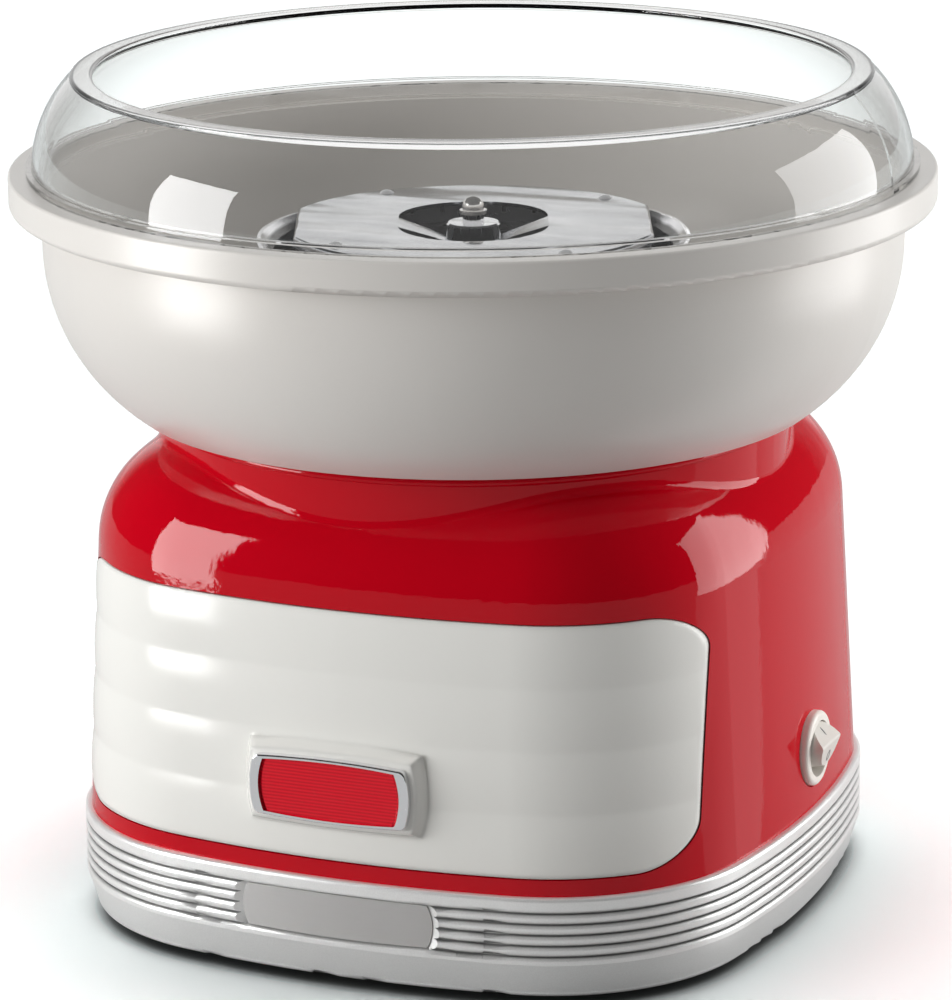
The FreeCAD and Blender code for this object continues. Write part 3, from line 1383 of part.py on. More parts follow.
def make_motor_end_cap():
    """Lower cap of the motor, with a seat for the bearing and two stands for the brushes."""
    body = new_body("motor_end_cap_body")
    section = new_sketch(body, "EndCapSection", "XZ_Plane")
    inner = motor_radius - motor_wall
    outline(section, [
        (bearing_radius, motor_bottom - end_cap_thickness),
        (motor_radius, motor_bottom - end_cap_thickness), (motor_radius, motor_bottom),
        (inner, motor_bottom), (inner, motor_bottom + motor_wall),
        (bearing_radius, motor_bottom + motor_wall)])
    revolve(body, section)
    stand = new_sketch(body, "BrushStand", "XY_Plane", motor_bottom)
    near_end = commutator_radius + brush_gap
    rectangle(stand, near_end + brush_overhang, near_end + brush_length, -brush_width / 2,
              brush_width / 2)
    block = pad(body, stand, brush_level() - motor_bottom)
    pattern_round(body, [block], 2, "BrushStands")
    return keep("motor_end_cap", body)


def make_carbon_brushes():
    brushes = []
    for index, turn in enumerate((0, 180)):
        brush = solid("Box", f"Brush{index}", Length=brush_length, Width=brush_width,
                      Height=brush_height)
        reach = commutator_radius + brush_gap
        side = 1 if turn == 0 else -1
        brushes.append(place(brush, reach * side, -brush_width * 0.5 * side, brush_level(),
                             as_size(turn)))
    return keep("carbon_brushes", group("carbon_brushes_group", brushes))


def make_bearing(node, low):
    bore = shaft_radius + bearing_clearance
    high = low + bearing_height
    edge = bearing_radius - bearing_chamfer
    return turned_piece(node, [
        (bore, low), (edge, low), (bearing_radius, low + bearing_chamfer),
        (bearing_radius, high - bearing_chamfer), (edge, high), (bore, high)])


def make_motor_magnets():
    """Two arc magnets against the inside of the can."""
    low = motor_bottom + (motor_length - magnet_height) / 2
    outer = motor_radius - motor_wall
    half = magnet_angle / 2
    magnets = []
    for side in (1, -1):
        body = new_body("magnet_front" if side < 0 else "magnet_rear")
        section = new_sketch(body, body.Name + "Section", "XY_Plane", low)
        reach_out, rise_out = outer * sine(half), outer * cosine(half) * side
        reach_in, rise_in = magnet_inner * sine(half), magnet_inner * cosine(half) * side
        outline(section, [
            (reach_out, rise_out, outer * side), (-reach_out, rise_out),
            (-reach_in, rise_in, -magnet_inner * side), (reach_in, rise_in)])
        pad(body, section, magnet_height)
        magnets.append(body)
    return keep("motor_magnets", group("motor_magnets_group", magnets))


def core_bottom():
    return motor_bottom + (motor_length - core_height) / 2 + winding_overhang / 2


def make_armature():
    """Slotted iron core with the ends of its winding standing out above and below."""
    body = new_body("armature_body")
    plan = new_sketch(body, "CorePlan", "XY_Plane", core_bottom())
    core_radius = magnet_inner - magnet_gap
    circle(plan, zero, zero, core_radius)
    circle(plan, zero, zero, shaft_radius)
    pad(body, plan, core_height)
    slot = new_sketch(body, "CoreSlot", "XY_Plane", core_bottom() + core_height)
    rectangle(slot, core_radius - slot_depth, core_radius * 1.1, -slot_width / 2, slot_width / 2)
    groove = pocket(body, slot, core_height * 1.1)
    pattern_round(body, [groove], slot_count, "CoreSlots")
    winding = new_sketch(body, "Winding", "XY_Plane", core_bottom() - winding_overhang)
    circle(winding, zero, zero, winding_radius)
    circle(winding, zero, zero, shaft_radius)
    pad(body, winding, core_height + winding_overhang * 2)
    return keep("armature", body)


def make_commutator():
    low = brush_level() - brush_lift + commutator_gap
    top = brush_level() + commutator_height
    return turned_piece("commutator", [
        (shaft_radius, low), (commutator_radius, low), (commutator_radius, top),
        (shaft_radius, top)])


# ---------------------------------------------------------------------------------------------
# Shaft, fan and spinning head
# ---------------------------------------------------------------------------------------------

def collar_top():
    return arm_top + collar_height


def nut_seat():
    return collar_top() + sleeve_height


def shaft_bottom():
    return motor_bottom - end_cap_thickness - shaft_tail


def make_motor_shaft():
    body = new_body("motor_shaft_body")
    section = new_sketch(body, "ShaftSection", "XZ_Plane")
    outline(section, [
        (0, shaft_bottom()), (shaft_radius, shaft_bottom()), (shaft_radius, collar_top()),
        (stud_radius, collar_top()), (stud_radius, nut_seat() + stud_reach),
        (0, nut_seat() + stud_reach)])
    revolve(body, section)
    cross_hole = new_sketch(body, "ShaftCrossHole", "YZ_Plane")
    pocket_through(body, circle(cross_hole, zero, pin_level(), drive_pin_radius))
    return keep("motor_shaft", body)


def make_cooling_fan():
    """Centrifugal fan on the tail of the shaft: a disc with upright radial blades."""
    body = new_body("cooling_fan_body")
    low = shaft_bottom() + fan_lift
    disc = new_sketch(body, "FanDisc", "XY_Plane", low)
    circle(disc, zero, zero, fan_radius)
    circle(disc, zero, zero, shaft_radius)
    pad(body, disc, fan_disc_thickness)
    hub = new_sketch(body, "FanHub", "XY_Plane", low)
    circle(hub, zero, zero, fan_hub_radius)
    circle(hub, zero, zero, shaft_radius)
    pad(body, hub, fan_height)
    blade = new_sketch(body, "FanBlade", "XY_Plane", low)
    rectangle(blade, fan_hub_radius * 0.9, fan_radius, -fan_blade_thickness / 2,
              fan_blade_thickness / 2)
    vane = pad(body, blade, fan_height)
    pattern_round(body, [vane], fan_blade_count, "FanBlades")
    return keep("cooling_fan", body)


def pin_level():
    return pan_bottom - drive_hub_height / 2


def turn_head(body):
    return place(body, turn=head_rest_angle)


def make_drive_hub():
    body = new_body("drive_hub_body")
    ring = new_sketch(body, "HubRing", "XY_Plane", pan_bottom - drive_hub_height)
    circle(ring, zero, zero, collar_radius)
    circle(ring, zero, zero, shaft_radius)
    pad(body, ring, drive_hub_height)
    cross_hole = new_sketch(body, "HubCrossHole", "YZ_Plane")
    pocket_through(body, circle(cross_hole, zero, pin_level(), drive_pin_radius))
    return keep("drive_hub", body)


def make_drive_pin():
    body = new_body("drive_pin_body")
    section = new_sketch(body, "DrivePinSection", "YZ_Plane")
    pad(body, circle(section, zero, pin_level(), drive_pin_radius), collar_radius * 2, Midplane=True)
    return keep("drive_pin", body)


def make_collar(node, low, high):
    return turned_piece(node, [
        (shaft_radius, low), (collar_radius, low), (collar_radius, high - collar_chamfer),
        (collar_radius - collar_chamfer, high), (shaft_radius, high)])


def make_head_top():
    """Pressed plate: a flatted disc with a turned-down rim, two sugar openings, and two arms that dip
    to the plate under the collar."""
    body = new_body("head_top_body")
    face = new_sketch(body, "HeadFace", "XY_Plane", head_height - head_rim_drop)
    pad(body, flatted_disc(face, head_radius, head_flat), head_rim_drop)
    fillet(body, head_corner, "HeadCorners",
           lambda edge: edge.BoundBox.ZLength > head_rim_drop.value * 0.9
           and edge.BoundBox.XLength < 0.01)
    fillet(body, head_rim_round, "HeadRimRound", lambda edge: level_edge(edge, head_height))
    hollow = new_sketch(body, "HeadHollow", "XY_Plane", head_height - head_rim_drop)
    pocket(body, flatted_disc(hollow, head_radius - sheet_metal, head_flat - sheet_metal),
           head_rim_drop - sheet_metal, Reversed=True)
    window = new_sketch(body, "SugarOpening", "XY_Plane", head_height)
    side_run = hole_half_depth - hole_half_width
    outline(window, [
        (hole_half_width, -side_run), (hole_half_width, side_run, hole_half_width),
        (0, hole_half_depth, hole_half_width), (-hole_half_width, side_run),
        (-hole_half_width, -side_run, hole_half_width), (0, -hole_half_depth, hole_half_width)])
    pocket(body, window, head_rim_drop * 2)
    plate = new_sketch(body, "HubPlate", "XY_Plane", arm_bottom)
    pad(body, circle(plate, zero, zero, hub_plate_radius), sheet_metal)
    for side in (1, -1):
        outer = new_sketch(body, f"ArmOuter{side + 1}", "YZ_Plane", (hole_half_width + arm_root) * side)
        rectangle(outer, -arm_outer_width / 2, arm_outer_width / 2, head_plate_bottom, head_height)
        inner = new_sketch(body, f"ArmInner{side + 1}", "YZ_Plane", collar_radius * side)
        rectangle(inner, -arm_inner_width / 2, arm_inner_width / 2, arm_bottom, arm_top)
        loft(body, [outer, inner])
    bore = new_sketch(body, "HeadBore", "XY_Plane", head_height)
    pocket(body, circle(bore, zero, zero, shaft_radius), arm_dip * 3)
    for index, angle in enumerate(rivet_angles):
        drill = new_sketch(body, f"RivetHole{index}", "XY_Plane", head_height)
        for turn in (0, 180):
            circle(drill, rivet_circle * cosine(angle + turn), rivet_circle * sine(angle + turn),
                   rivet_shank_radius)
        pocket(body, drill, head_rim_drop * 2)
    return keep("head_top", turn_head(body))


def make_head_pan():
    """Shallow tray under the plate, with the same flatted outline."""
    body = new_body("head_pan_body")
    radius = head_radius - pan_inset
    flat = head_flat - pan_inset
    outer = new_sketch(body, "PanOuter", "XY_Plane", pan_bottom)
    pad(body, flatted_disc(outer, radius, flat), pan_height)
    fillet(body, head_corner - pan_inset, "PanCorners",
           lambda edge: edge.BoundBox.ZLength > pan_height.value * 0.9
           and edge.BoundBox.XLength < 0.01)
    fillet(body, pan_bottom_round, "PanBottomRound", lambda edge: level_edge(edge, pan_bottom))
    hollow = new_sketch(body, "PanHollow", "XY_Plane", pan_bottom + sheet_metal)
    pocket(body, flatted_disc(hollow, radius - sheet_metal, flat - sheet_metal), pan_height,
           Reversed=True)
    bore = new_sketch(body, "PanBore", "XY_Plane", pan_top)
    pocket(body, circle(bore, zero, zero, shaft_radius), pan_height * 1.5)
    for index, angle in enumerate(rivet_angles):
        drill = new_sketch(body, f"PanRivetHole{index}", "XY_Plane", pan_top)
        for turn in (0, 180):
            circle(drill, rivet_circle * cosine(angle + turn), rivet_circle * sine(angle + turn),
                   rivet_shank_radius)
        pocket(body, drill, pan_height * 1.5)
    return keep("head_pan", turn_head(body))


def make_head_band():
    """Perforated wall between the pan's floor and the plate."""
    body = new_body("head_band_body")
    radius = head_radius - band_inset
    flat = head_flat - band_inset
    low = pan_bottom + sheet_metal
    ring = new_sketch(body, "BandRing", "XY_Plane", low)
    flatted_disc(ring, radius, flat)
    flatted_disc(ring, radius - band_thickness, flat - band_thickness)
    pad(body, ring, head_plate_bottom - low)
    slot = new_sketch(body, "BandSlot", "YZ_Plane", flat * 0.9)
    middle = (low + head_plate_bottom) / 2
    rectangle(slot, -band_slot_width / 2, band_slot_width / 2, middle - band_slot_height / 2,
              middle + band_slot_height / 2)
    hole = pocket(body, slot, radius * 0.2, Reversed=True)
    pattern_round(body, [hole], band_slot_count, "BandSlots")
    return keep("head_band", turn_head(body))


def make_head_rivets():
    """Four rivets that hold plate, band and pan together."""
    rivets = []
    for angle in rivet_angles:
        for turn in (0, 180):
            body = new_body(f"rivet_{len(rivets)}")
            section = new_sketch(body, body.Name + "Section", "XZ_Plane")
            cap = (rivet_head_radius * rivet_head_radius + rivet_head_height * rivet_head_height) \
                / (rivet_head_height * 2)
            foot = pan_bottom - rivet_head_height
            outline(section, [
                (0, foot), (rivet_head_radius, foot),
                (rivet_head_radius, pan_bottom), (rivet_shank_radius, pan_bottom),
                (rivet_shank_radius, head_height), (rivet_head_radius, head_height, cap),
                (0, head_height + rivet_head_height)])
            revolve(body, section)
            whole_angle = angle + head_rest_angle + turn
            place(body, rivet_circle * cosine(whole_angle), rivet_circle * sine(whole_angle), zero)
            rivets.append(body)
    return keep("head_rivets", group("head_rivets_group", rivets))


def make_nut_sleeve():
    return turned_piece("nut_sleeve", [
        (stud_radius, collar_top()), (sleeve_radius, collar_top()), (sleeve_radius, nut_seat()),
        (stud_radius, nut_seat())])


def make_domed_nut():
    seat = nut_seat()
    flange_top = seat + nut_flange_height
    dome_foot = seat + nut_height - nut_radius
    bore_top = seat + stud_reach
    return turned_piece("domed_nut", [
        (stud_radius, seat), (nut_flange_radius, seat), (nut_flange_radius, flange_top),
        (nut_radius, flange_top), (nut_radius, dome_foot, nut_radius), (0, seat + nut_height),
        (0, bore_top), (stud_radius, bore_top)])


# ---------------------------------------------------------------------------------------------
# Build, check and write
# ---------------------------------------------------------------------------------------------

make_base_skirt()
make_name_plate()
make_bottom_plate()
make_rubber_feet()
make_body_screws()
make_terminal_block()
make_housing_shell()
make_front_panel()
make_badge_frame()
make_badge_lens()
make_switch_bezel()
make_rocker_pin()
make_switch_rocker()
make_switch_contacts()
make_cord_grommet()
make_bowl_gasket()
make_bowl()
make_splash_guard()
make_heater_pot()
make_pot_screws()
make_heating_element()
make_ceramic_insulators()
make_thermostat()
make_thermal_fuse()
make_motor_bracket()
make_rubber_bushes()
make_motor_screws()
make_motor_can()
make_motor_end_cap()
make_carbon_brushes()
make_bearing("lower_bearing", motor_bottom - end_cap_thickness)
make_bearing("upper_bearing", motor_top - motor_wall - bearing_height + bearing_rise)
make_motor_magnets()
make_armature()
make_commutator()
make_motor_shaft()
make_cooling_fan()
make_drive_hub()
make_drive_pin()
make_collar("head_spacer", pan_bottom + sheet_metal, arm_bottom)
make_collar("head_collar", arm_top, collar_top())
make_head_top()
make_head_pan()
make_head_band()
make_head_rivets()
make_nut_sleeve()
make_domed_nut()
document.recompute()

failed = [thing.Name for thing in document.Objects if "Invalid" in thing.State or "Error" in thing.State]
if failed:
    raise RuntimeError(f"failed to build: {failed}")

os.makedirs("parts", exist_ok=True)
for node, thing in nodes.items():
    shape = thing.Shape
    if shape.isNull() or not shape.isValid():
        raise RuntimeError(f"{node} has no valid shape")
    shape.exportStep(f"parts/{node}.step")
    print(f"{node}: {len(shape.Solids)} solid(s), volume {shape.Volume:.1f} mm3")
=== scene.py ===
import json
import math

import bmesh
import bpy
from mathutils import Matrix, Vector

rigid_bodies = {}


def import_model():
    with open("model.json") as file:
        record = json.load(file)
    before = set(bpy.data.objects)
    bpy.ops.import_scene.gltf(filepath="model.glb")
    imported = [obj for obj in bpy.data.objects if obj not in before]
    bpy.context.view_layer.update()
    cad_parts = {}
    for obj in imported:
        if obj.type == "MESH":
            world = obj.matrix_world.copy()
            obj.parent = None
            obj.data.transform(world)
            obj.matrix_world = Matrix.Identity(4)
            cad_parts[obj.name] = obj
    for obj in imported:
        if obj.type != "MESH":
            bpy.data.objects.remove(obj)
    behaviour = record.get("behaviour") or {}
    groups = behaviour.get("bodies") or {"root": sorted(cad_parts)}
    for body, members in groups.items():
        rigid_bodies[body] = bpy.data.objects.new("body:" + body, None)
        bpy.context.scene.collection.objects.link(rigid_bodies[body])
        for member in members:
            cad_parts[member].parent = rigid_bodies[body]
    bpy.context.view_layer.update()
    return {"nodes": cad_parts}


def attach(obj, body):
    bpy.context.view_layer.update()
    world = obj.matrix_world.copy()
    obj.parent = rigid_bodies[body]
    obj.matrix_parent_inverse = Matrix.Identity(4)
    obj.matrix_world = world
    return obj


for leftover in list(bpy.data.objects):
    bpy.data.objects.remove(leftover)

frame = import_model()
nodes = frame["nodes"]


# ------------------------------------------------------------------------------------------
# Shader trees
# ------------------------------------------------------------------------------------------

WHITE = (1.0, 1.0, 1.0, 1.0)
NOISE_LOW, NOISE_HIGH = 0.3, 0.7
# Painted groove shade: the occlusion at which the shade is full and at which it is gone, and its
# samples
GROOVE_SHADE_LOW, GROOVE_SHADE_HIGH = 0.45, 0.95
GROOVE_SHADE_SAMPLES = 8


def heading(azimuth, elevation=0.0):
    """Direction of an azimuth, 0 in front and growing towards +X, and an elevation, in radians."""
    return (math.sin(azimuth) * math.cos(elevation), -math.cos(azimuth) * math.cos(elevation),
            math.sin(elevation))


class Nodes:
    """Shorthand for the nodes and links of one shader tree."""

    def __init__(self, tree):
        self.tree = tree

    def new(self, kind, **settings):
        """A new node of that kind, with those of its properties set."""
        node = self.tree.nodes.new(kind)
        for setting, value in settings.items():
            setattr(node, setting, value)
        return node

    def clear(self):
        self.tree.nodes.clear()

    def link(self, source, target):
        self.tree.links.new(source, target)

    def put(self, value, target):
        """Fills a socket with a constant, or with another node's output."""
        if isinstance(value, bpy.types.NodeSocket):
            self.link(value, target)
        else:
            target.default_value = value

    def sum_of(self, operation, first, second):
        node = self.new("ShaderNodeMath", operation=operation)
        for value, target in zip((first, second), node.inputs):
            self.put(value, target)
        return node.outputs["Value"]

    def spread(self, source, low, high, start=NOISE_LOW, end=NOISE_HIGH, **settings):
        """Maps start to end onto low to high, and stays level beyond them."""
        ranged = self.new("ShaderNodeMapRange", **settings)
        ends = {"From Min": start, "From Max": end, "To Min": low, "To Max": high}
        for socket, value in ends.items():
            ranged.inputs[socket].default_value = value
        self.link(source, ranged.inputs["Value"])
        return ranged.outputs["Result"]

    def blended(self, factor, first, second, blend_type="MIX"):
        """A colour between two, each (red, green, blue) or a node's output."""
        mix = self.new("ShaderNodeMix", data_type="RGBA", blend_type=blend_type)
        for color, target in ((first, mix.inputs["A"]), (second, mix.inputs["B"])):
            self.put(color if isinstance(color, bpy.types.NodeSocket) else (*color, 1.0), target)
        self.link(factor, mix.inputs["Factor"])
        return mix.outputs["Result"]

    def ray(self, *kinds):
        """1 for rays of any of these kinds."""
        path = self.new("ShaderNodeLightPath")
        total = path.outputs[f"Is {kinds[0]} Ray"]
        for kind in kinds[1:]:
            total = self.sum_of("MAXIMUM", total, path.outputs[f"Is {kind} Ray"])
        return total

    def towards(self, azimuth, elevation, start, full):
        """Rises smoothly from 0 to 1 as a direction turns to an azimuth and elevation (degrees)."""
        dot = self.new("ShaderNodeVectorMath", operation="DOT_PRODUCT")
        dot.inputs[1].default_value = heading(math.radians(azimuth), math.radians(elevation))
        self.link(self.new("ShaderNodeTexCoord").outputs["Generated"], dot.inputs[0])
        return self.spread(dot.outputs["Value"], 0.0, 1.0, math.cos(math.radians(start)),
                           math.cos(math.radians(full)), interpolation_type="SMOOTHSTEP")

    def background(self, strength):
        node = self.new("ShaderNodeBackground")
        node.inputs["Color"].default_value = WHITE
        self.put(strength, node.inputs["Strength"])
        return node.outputs["Background"]

    def mixed(self, factor, first, second):
        """One shader where the factor is 0, the other where it is 1."""
        node = self.new("ShaderNodeMixShader")
        for value, target in zip((factor, first, second), node.inputs):
            self.link(value, target)
        return node.outputs["Shader"]


class Finish(Nodes):
    """A procedural material: a Principled shader whose fine variation lies in object space."""

    def __init__(self, name, color, roughness, metallic=0.0, **sockets):
        self.material = bpy.data.materials.new(name)
        self.material.use_nodes = True
        super().__init__(self.material.node_tree)
        self.shader = self.tree.nodes["Principled BSDF"]
        self.color = color
        self.set("Base Color", (*color, 1.0))
        self.set("Roughness", roughness)
        self.set("Metallic", metallic)
        for socket, value in sockets.items():
            self.set(socket.replace("_", " "), value)
        self.place = self.new("ShaderNodeTexCoord").outputs["Object"]
        self.normal = None

    def set(self, socket, value):
        self.shader.inputs[socket].default_value = value

    def stretched(self, scale):
        """Object space scaled per axis, for grain that runs one way."""
        mapping = self.new("ShaderNodeMapping")
        mapping.inputs["Scale"].default_value = scale
        self.link(self.place, mapping.inputs["Vector"])
        return mapping.outputs["Vector"]

    def noise(self, scale, detail=4.0, stretch=None):
        noise = self.new("ShaderNodeTexNoise")
        noise.inputs["Scale"].default_value = scale
        noise.inputs["Detail"].default_value = detail
        place = self.place if stretch is None else self.stretched(stretch)
        self.link(place, noise.inputs["Vector"])
        return noise.outputs["Fac"]

    def vary_roughness(self, source, low, high):
        self.link(self.spread(source, low, high), self.shader.inputs["Roughness"])

    def vary_color(self, source, other, amount, start=NOISE_LOW, end=NOISE_HIGH):
        """Turns the colour towards another by that amount, as the source goes from start to end."""
        factor = self.spread(source, 0.0, amount, start, end)
        self.link(self.blended(factor, self.color, other), self.shader.inputs["Base Color"])

    def bump(self, source, distance, strength=1.0):
        """Adds a bump of that distance in metres on top of those already there."""
        bump = self.new("ShaderNodeBump")
        bump.inputs["Distance"].default_value = distance
        bump.inputs["Strength"].default_value = strength
        self.link(source, bump.inputs["Height"])
        if self.normal is not None:
            self.link(self.normal, bump.inputs["Normal"])
        self.normal = bump.outputs["Normal"]
        self.link(self.normal, self.shader.inputs["Normal"])

    def soften_edges(self, radius):
        """Rounds the edges in the shading, before any bump."""
        bevel = self.new("ShaderNodeBevel")
        bevel.inputs["Radius"].default_value = radius
        self.normal = bevel.outputs["Normal"]

    def paint_groove_shade(self, distance, amount):
        """Paints shade into a varied colour where the surface is hemmed in within that distance:
        painted shade in grooves and creases.
        """
        hemmed = self.new("ShaderNodeAmbientOcclusion", samples=GROOVE_SHADE_SAMPLES, only_local=True)
        hemmed.inputs["Distance"].default_value = distance
        base = self.shader.inputs["Base Color"]
        factor = self.spread(hemmed.outputs["AO"], 1.0, 0.0, GROOVE_SHADE_LOW, GROOVE_SHADE_HIGH)
        shade = [1.0 - amount] * 3
        self.link(self.blended(factor, base.links[0].from_socket, shade, "MULTIPLY"), base)


# ------------------------------------------------------------------------------------------
# Materials
# ------------------------------------------------------------------------------------------

MIDDLING, FINE, VERY_FINE = [(scale, scale, scale) for scale in (200.0, 300.0, 900.0)]
# Painted shade on the pot: how far below its top it starts, and over what height it fades in
POT_SHADE_DEPTH = 0.0012
POT_SHADE_FADE = 0.0008


def level_lines(across, upward):
    """Stretch of a grain whose lines run level, as on turned, spun or brushed metal."""
    return across, across, upward


def moulded(name, color, shade, roughness, peel=0.00002, soft_edge=0.0, **sockets):
    """Moulded plastic: faint colour drift, patchy gloss and a slight orange peel."""
    finish = Finish(name, color, roughness, **sockets)
    if soft_edge:
        finish.soften_edges(soft_edge)
    finish.vary_color(finish.noise(scale=14.0), shade, amount=0.6)
    patches = finish.noise(scale=35.0, detail=6.0)
    finish.vary_roughness(patches, low=roughness * 0.95, high=roughness * 1.06)
    finish.bump(finish.noise(scale=420.0, detail=2.0), peel)
    return finish.material


def brushed(name, color, roughness, stretch, depth=0.00001, metallic=1.0):
    """Metal with a fine grain, stretched to suit how it was worked."""
    finish = Finish(name, color, roughness, metallic)
    grain = finish.noise(scale=1.0, detail=3.0, stretch=stretch)
    finish.vary_roughness(grain, low=roughness * 0.8, high=roughness * 1.3)
    duller = tuple(part * 0.85 for part in color)
    finish.vary_color(finish.noise(scale=20.0), duller, amount=0.5)
    finish.bump(grain, depth)
    return finish.material


def satin_silver():
    """Satin silver paint: fine metal flake under a thin lacquer, with shade painted into the
    grooves.
    """
    finish = Finish("satin_silver", (0.95, 0.95, 0.94), 0.32, metallic=0.44, Specular_IOR_Level=0.4)
    flake = finish.noise(scale=2600.0, detail=1.0)
    finish.vary_roughness(finish.noise(scale=40.0, detail=3.0), low=0.28, high=0.36)
    finish.vary_color(flake, (0.87, 0.87, 0.86), amount=0.7)
    # Painted shade in the grooves between the ribs
    finish.paint_groove_shade(distance=0.0028, amount=0.70)
    finish.bump(flake, distance=0.000006)
    return finish.material


def clear_plastic():
    """Clear plastic that greys towards its outline, where one looks along the wall."""
    finish = Finish("clear_plastic", (0.985, 0.985, 0.98), 0.015, Transmission_Weight=1.0, IOR=1.49)
    edge = finish.new("ShaderNodeLayerWeight")
    edge.inputs["Blend"].default_value = 0.25
    finish.vary_color(edge.outputs["Facing"], (0.30, 0.29, 0.275), amount=1.0, start=0.22, end=0.80)
    finish.bump(finish.noise(scale=9.0, detail=1.0), distance=0.0002, strength=0.15)
    return finish.material


def badge_red():
    """Red lens with fine ribs behind its face."""
    finish = Finish("badge_red", (0.78, 0.003, 0.018), 0.12, Specular_IOR_Level=0.35)
    ribs = finish.new("ShaderNodeTexWave", bands_direction="Z")
    ribs.inputs["Scale"].default_value = 300.0
    ribs.inputs["Distortion"].default_value = 0.4
    finish.link(finish.place, ribs.inputs["Vector"])
    finish.vary_color(ribs.outputs["Fac"], (0.50, 0.0, 0.010), amount=0.6)
    finish.vary_roughness(finish.noise(scale=50.0), low=0.10, high=0.16)
    finish.bump(ribs.outputs["Fac"], distance=0.00003)
    return finish.material


def pot_painted_shade():
    """Spun pot: its rolled rim keeps the metal's colour, and below it the colour is painted near
    black as painted shade in the gap round the head.
    """
    pot = nodes["heater_pot"]
    rim = max((pot.matrix_world @ vertex.co).z for vertex in pot.data.vertices) - POT_SHADE_DEPTH
    finish = Finish("pot_painted_shade", (0.80, 0.80, 0.82), 0.14, metallic=1.0)
    split = finish.new("ShaderNodeSeparateXYZ")
    finish.link(finish.place, split.inputs["Vector"])
    # Painted shade: near black below the rim
    finish.vary_color(split.outputs["Z"], (0.06, 0.058, 0.056), amount=1.0,
                      start=rim, end=rim - POT_SHADE_FADE)
    finish.vary_roughness(finish.noise(scale=60.0, detail=4.0), low=0.10, high=0.30)
    spun = finish.noise(scale=1.0, detail=3.0, stretch=level_lines(20.0, 1500.0))
    finish.bump(spun, distance=0.00001)
    return finish.material


def pressed_alloy(name, color, shade, roughness=0.08):
    """Bright pressed sheet: near mirror, a little uneven, with rolling lines and handling marks;
    darker bands in its colour are a painted reflection.
    """
    finish = Finish(name, color, roughness, metallic=1.0)
    smears = finish.noise(scale=60.0, detail=5.0)
    painted_reflection_bands = finish.noise(scale=1.0, detail=2.0, stretch=(30.0, 70.0, 30.0))
    rolled = finish.noise(scale=1.0, detail=2.0, stretch=(40.0, 900.0, 40.0))
    waves = finish.noise(scale=1.0, detail=1.0, stretch=(9.0, 40.0, 9.0))
    finish.vary_roughness(smears, low=roughness * 0.7, high=roughness * 1.8)
    # Painted reflection: darker bands stand in for the dark streaks that the mirror shows
    finish.vary_color(painted_reflection_bands, shade, amount=0.9)
    finish.bump(rolled, distance=0.000008)
    finish.bump(waves, distance=0.0014)
    return finish.material


# Plastics, rubbers and ceramics: colour, the shade that it drifts to, roughness
red = moulded("gloss_red", (0.55, 0.0, 0.009), (0.52, 0.0, 0.008), 0.04, Specular_IOR_Level=0.23)
panel_white = moulded("panel_white", (0.89, 0.885, 0.845), (0.86, 0.855, 0.815), 0.14,
                      soft_edge=0.0026, Specular_IOR_Level=0.34)
bowl_white = moulded("bowl_white", (0.75, 0.725, 0.69), (0.71, 0.685, 0.65), 0.30,
                     Specular_IOR_Level=0.40)
switch_white = moulded("switch_white", (0.80, 0.77, 0.72), (0.74, 0.71, 0.66), 0.28,
                       Specular_IOR_Level=0.40)
bezel_white = moulded("bezel_white", (0.90, 0.86, 0.80), (0.86, 0.82, 0.76), 0.28,
                      Specular_IOR_Level=0.40)
black = moulded("moulded_black", (0.025, 0.025, 0.027), (0.035, 0.035, 0.036), 0.5, peel=0.00005)
rubber = moulded("rubber_black", (0.02, 0.02, 0.02), (0.03, 0.03, 0.03), 0.72, peel=0.00006)
silicone = moulded("silicone_grey", (0.55, 0.55, 0.53), (0.5, 0.5, 0.48), 0.5)
block_white = moulded("block_white", (0.78, 0.77, 0.74), (0.72, 0.71, 0.68), 0.45)
ceramic = moulded("steatite", (0.82, 0.79, 0.72), (0.76, 0.72, 0.64), 0.35)
carbon = moulded("pressed_carbon", (0.04, 0.04, 0.042), (0.06, 0.06, 0.06), 0.6)
ferrite = moulded("ferrite", (0.06, 0.06, 0.062), (0.09, 0.09, 0.09), 0.55, peel=0.00008)
mark_grey = moulded("mark_grey", (0.10, 0.10, 0.11), (0.12, 0.12, 0.13), 0.4)

# Metals: colour, roughness, stretch of the grain
plate = brushed("brushed_plate", (0.58, 0.57, 0.56), 0.36, level_lines(60.0, 1800.0),
                depth=0.000008, metallic=0.6)
chrome = brushed("polished_chrome", (0.88, 0.88, 0.90), 0.06, MIDDLING, depth=0.000002)
pot_alloy = brushed("spun_alloy", (0.78, 0.78, 0.80), 0.2, level_lines(20.0, 1500.0))
steel = brushed("ground_steel", (0.62, 0.62, 0.64), 0.25, level_lines(40.0, 900.0))
zinc = brushed("zinc_plate", (0.60, 0.61, 0.63), 0.34, FINE)
motor_steel = brushed("drawn_steel", (0.42, 0.43, 0.45), 0.36, level_lines(50.0, 700.0))
sheath = brushed("heated_sheath", (0.22, 0.19, 0.17), 0.45, FINE, depth=0.00002)
bronze = brushed("sintered_bronze", (0.45, 0.29, 0.13), 0.42, VERY_FINE, depth=0.00002)
copper = brushed("turned_copper", (0.72, 0.36, 0.22), 0.3, level_lines(30.0, 1500.0))
brass = brushed("brass", (0.72, 0.52, 0.2), 0.3, FINE)
laminations = brushed("laminations", (0.30, 0.19, 0.12), 0.5, level_lines(20.0, 2500.0),
                      depth=0.00003, metallic=0.7)
polished = brushed("polished_steel", (0.66, 0.66, 0.67), 0.10, FINE, depth=0.000002)
bright_rivet = brushed("rivet_alloy", (0.88, 0.88, 0.89), 0.42, FINE, depth=0.000002, metallic=0.45)
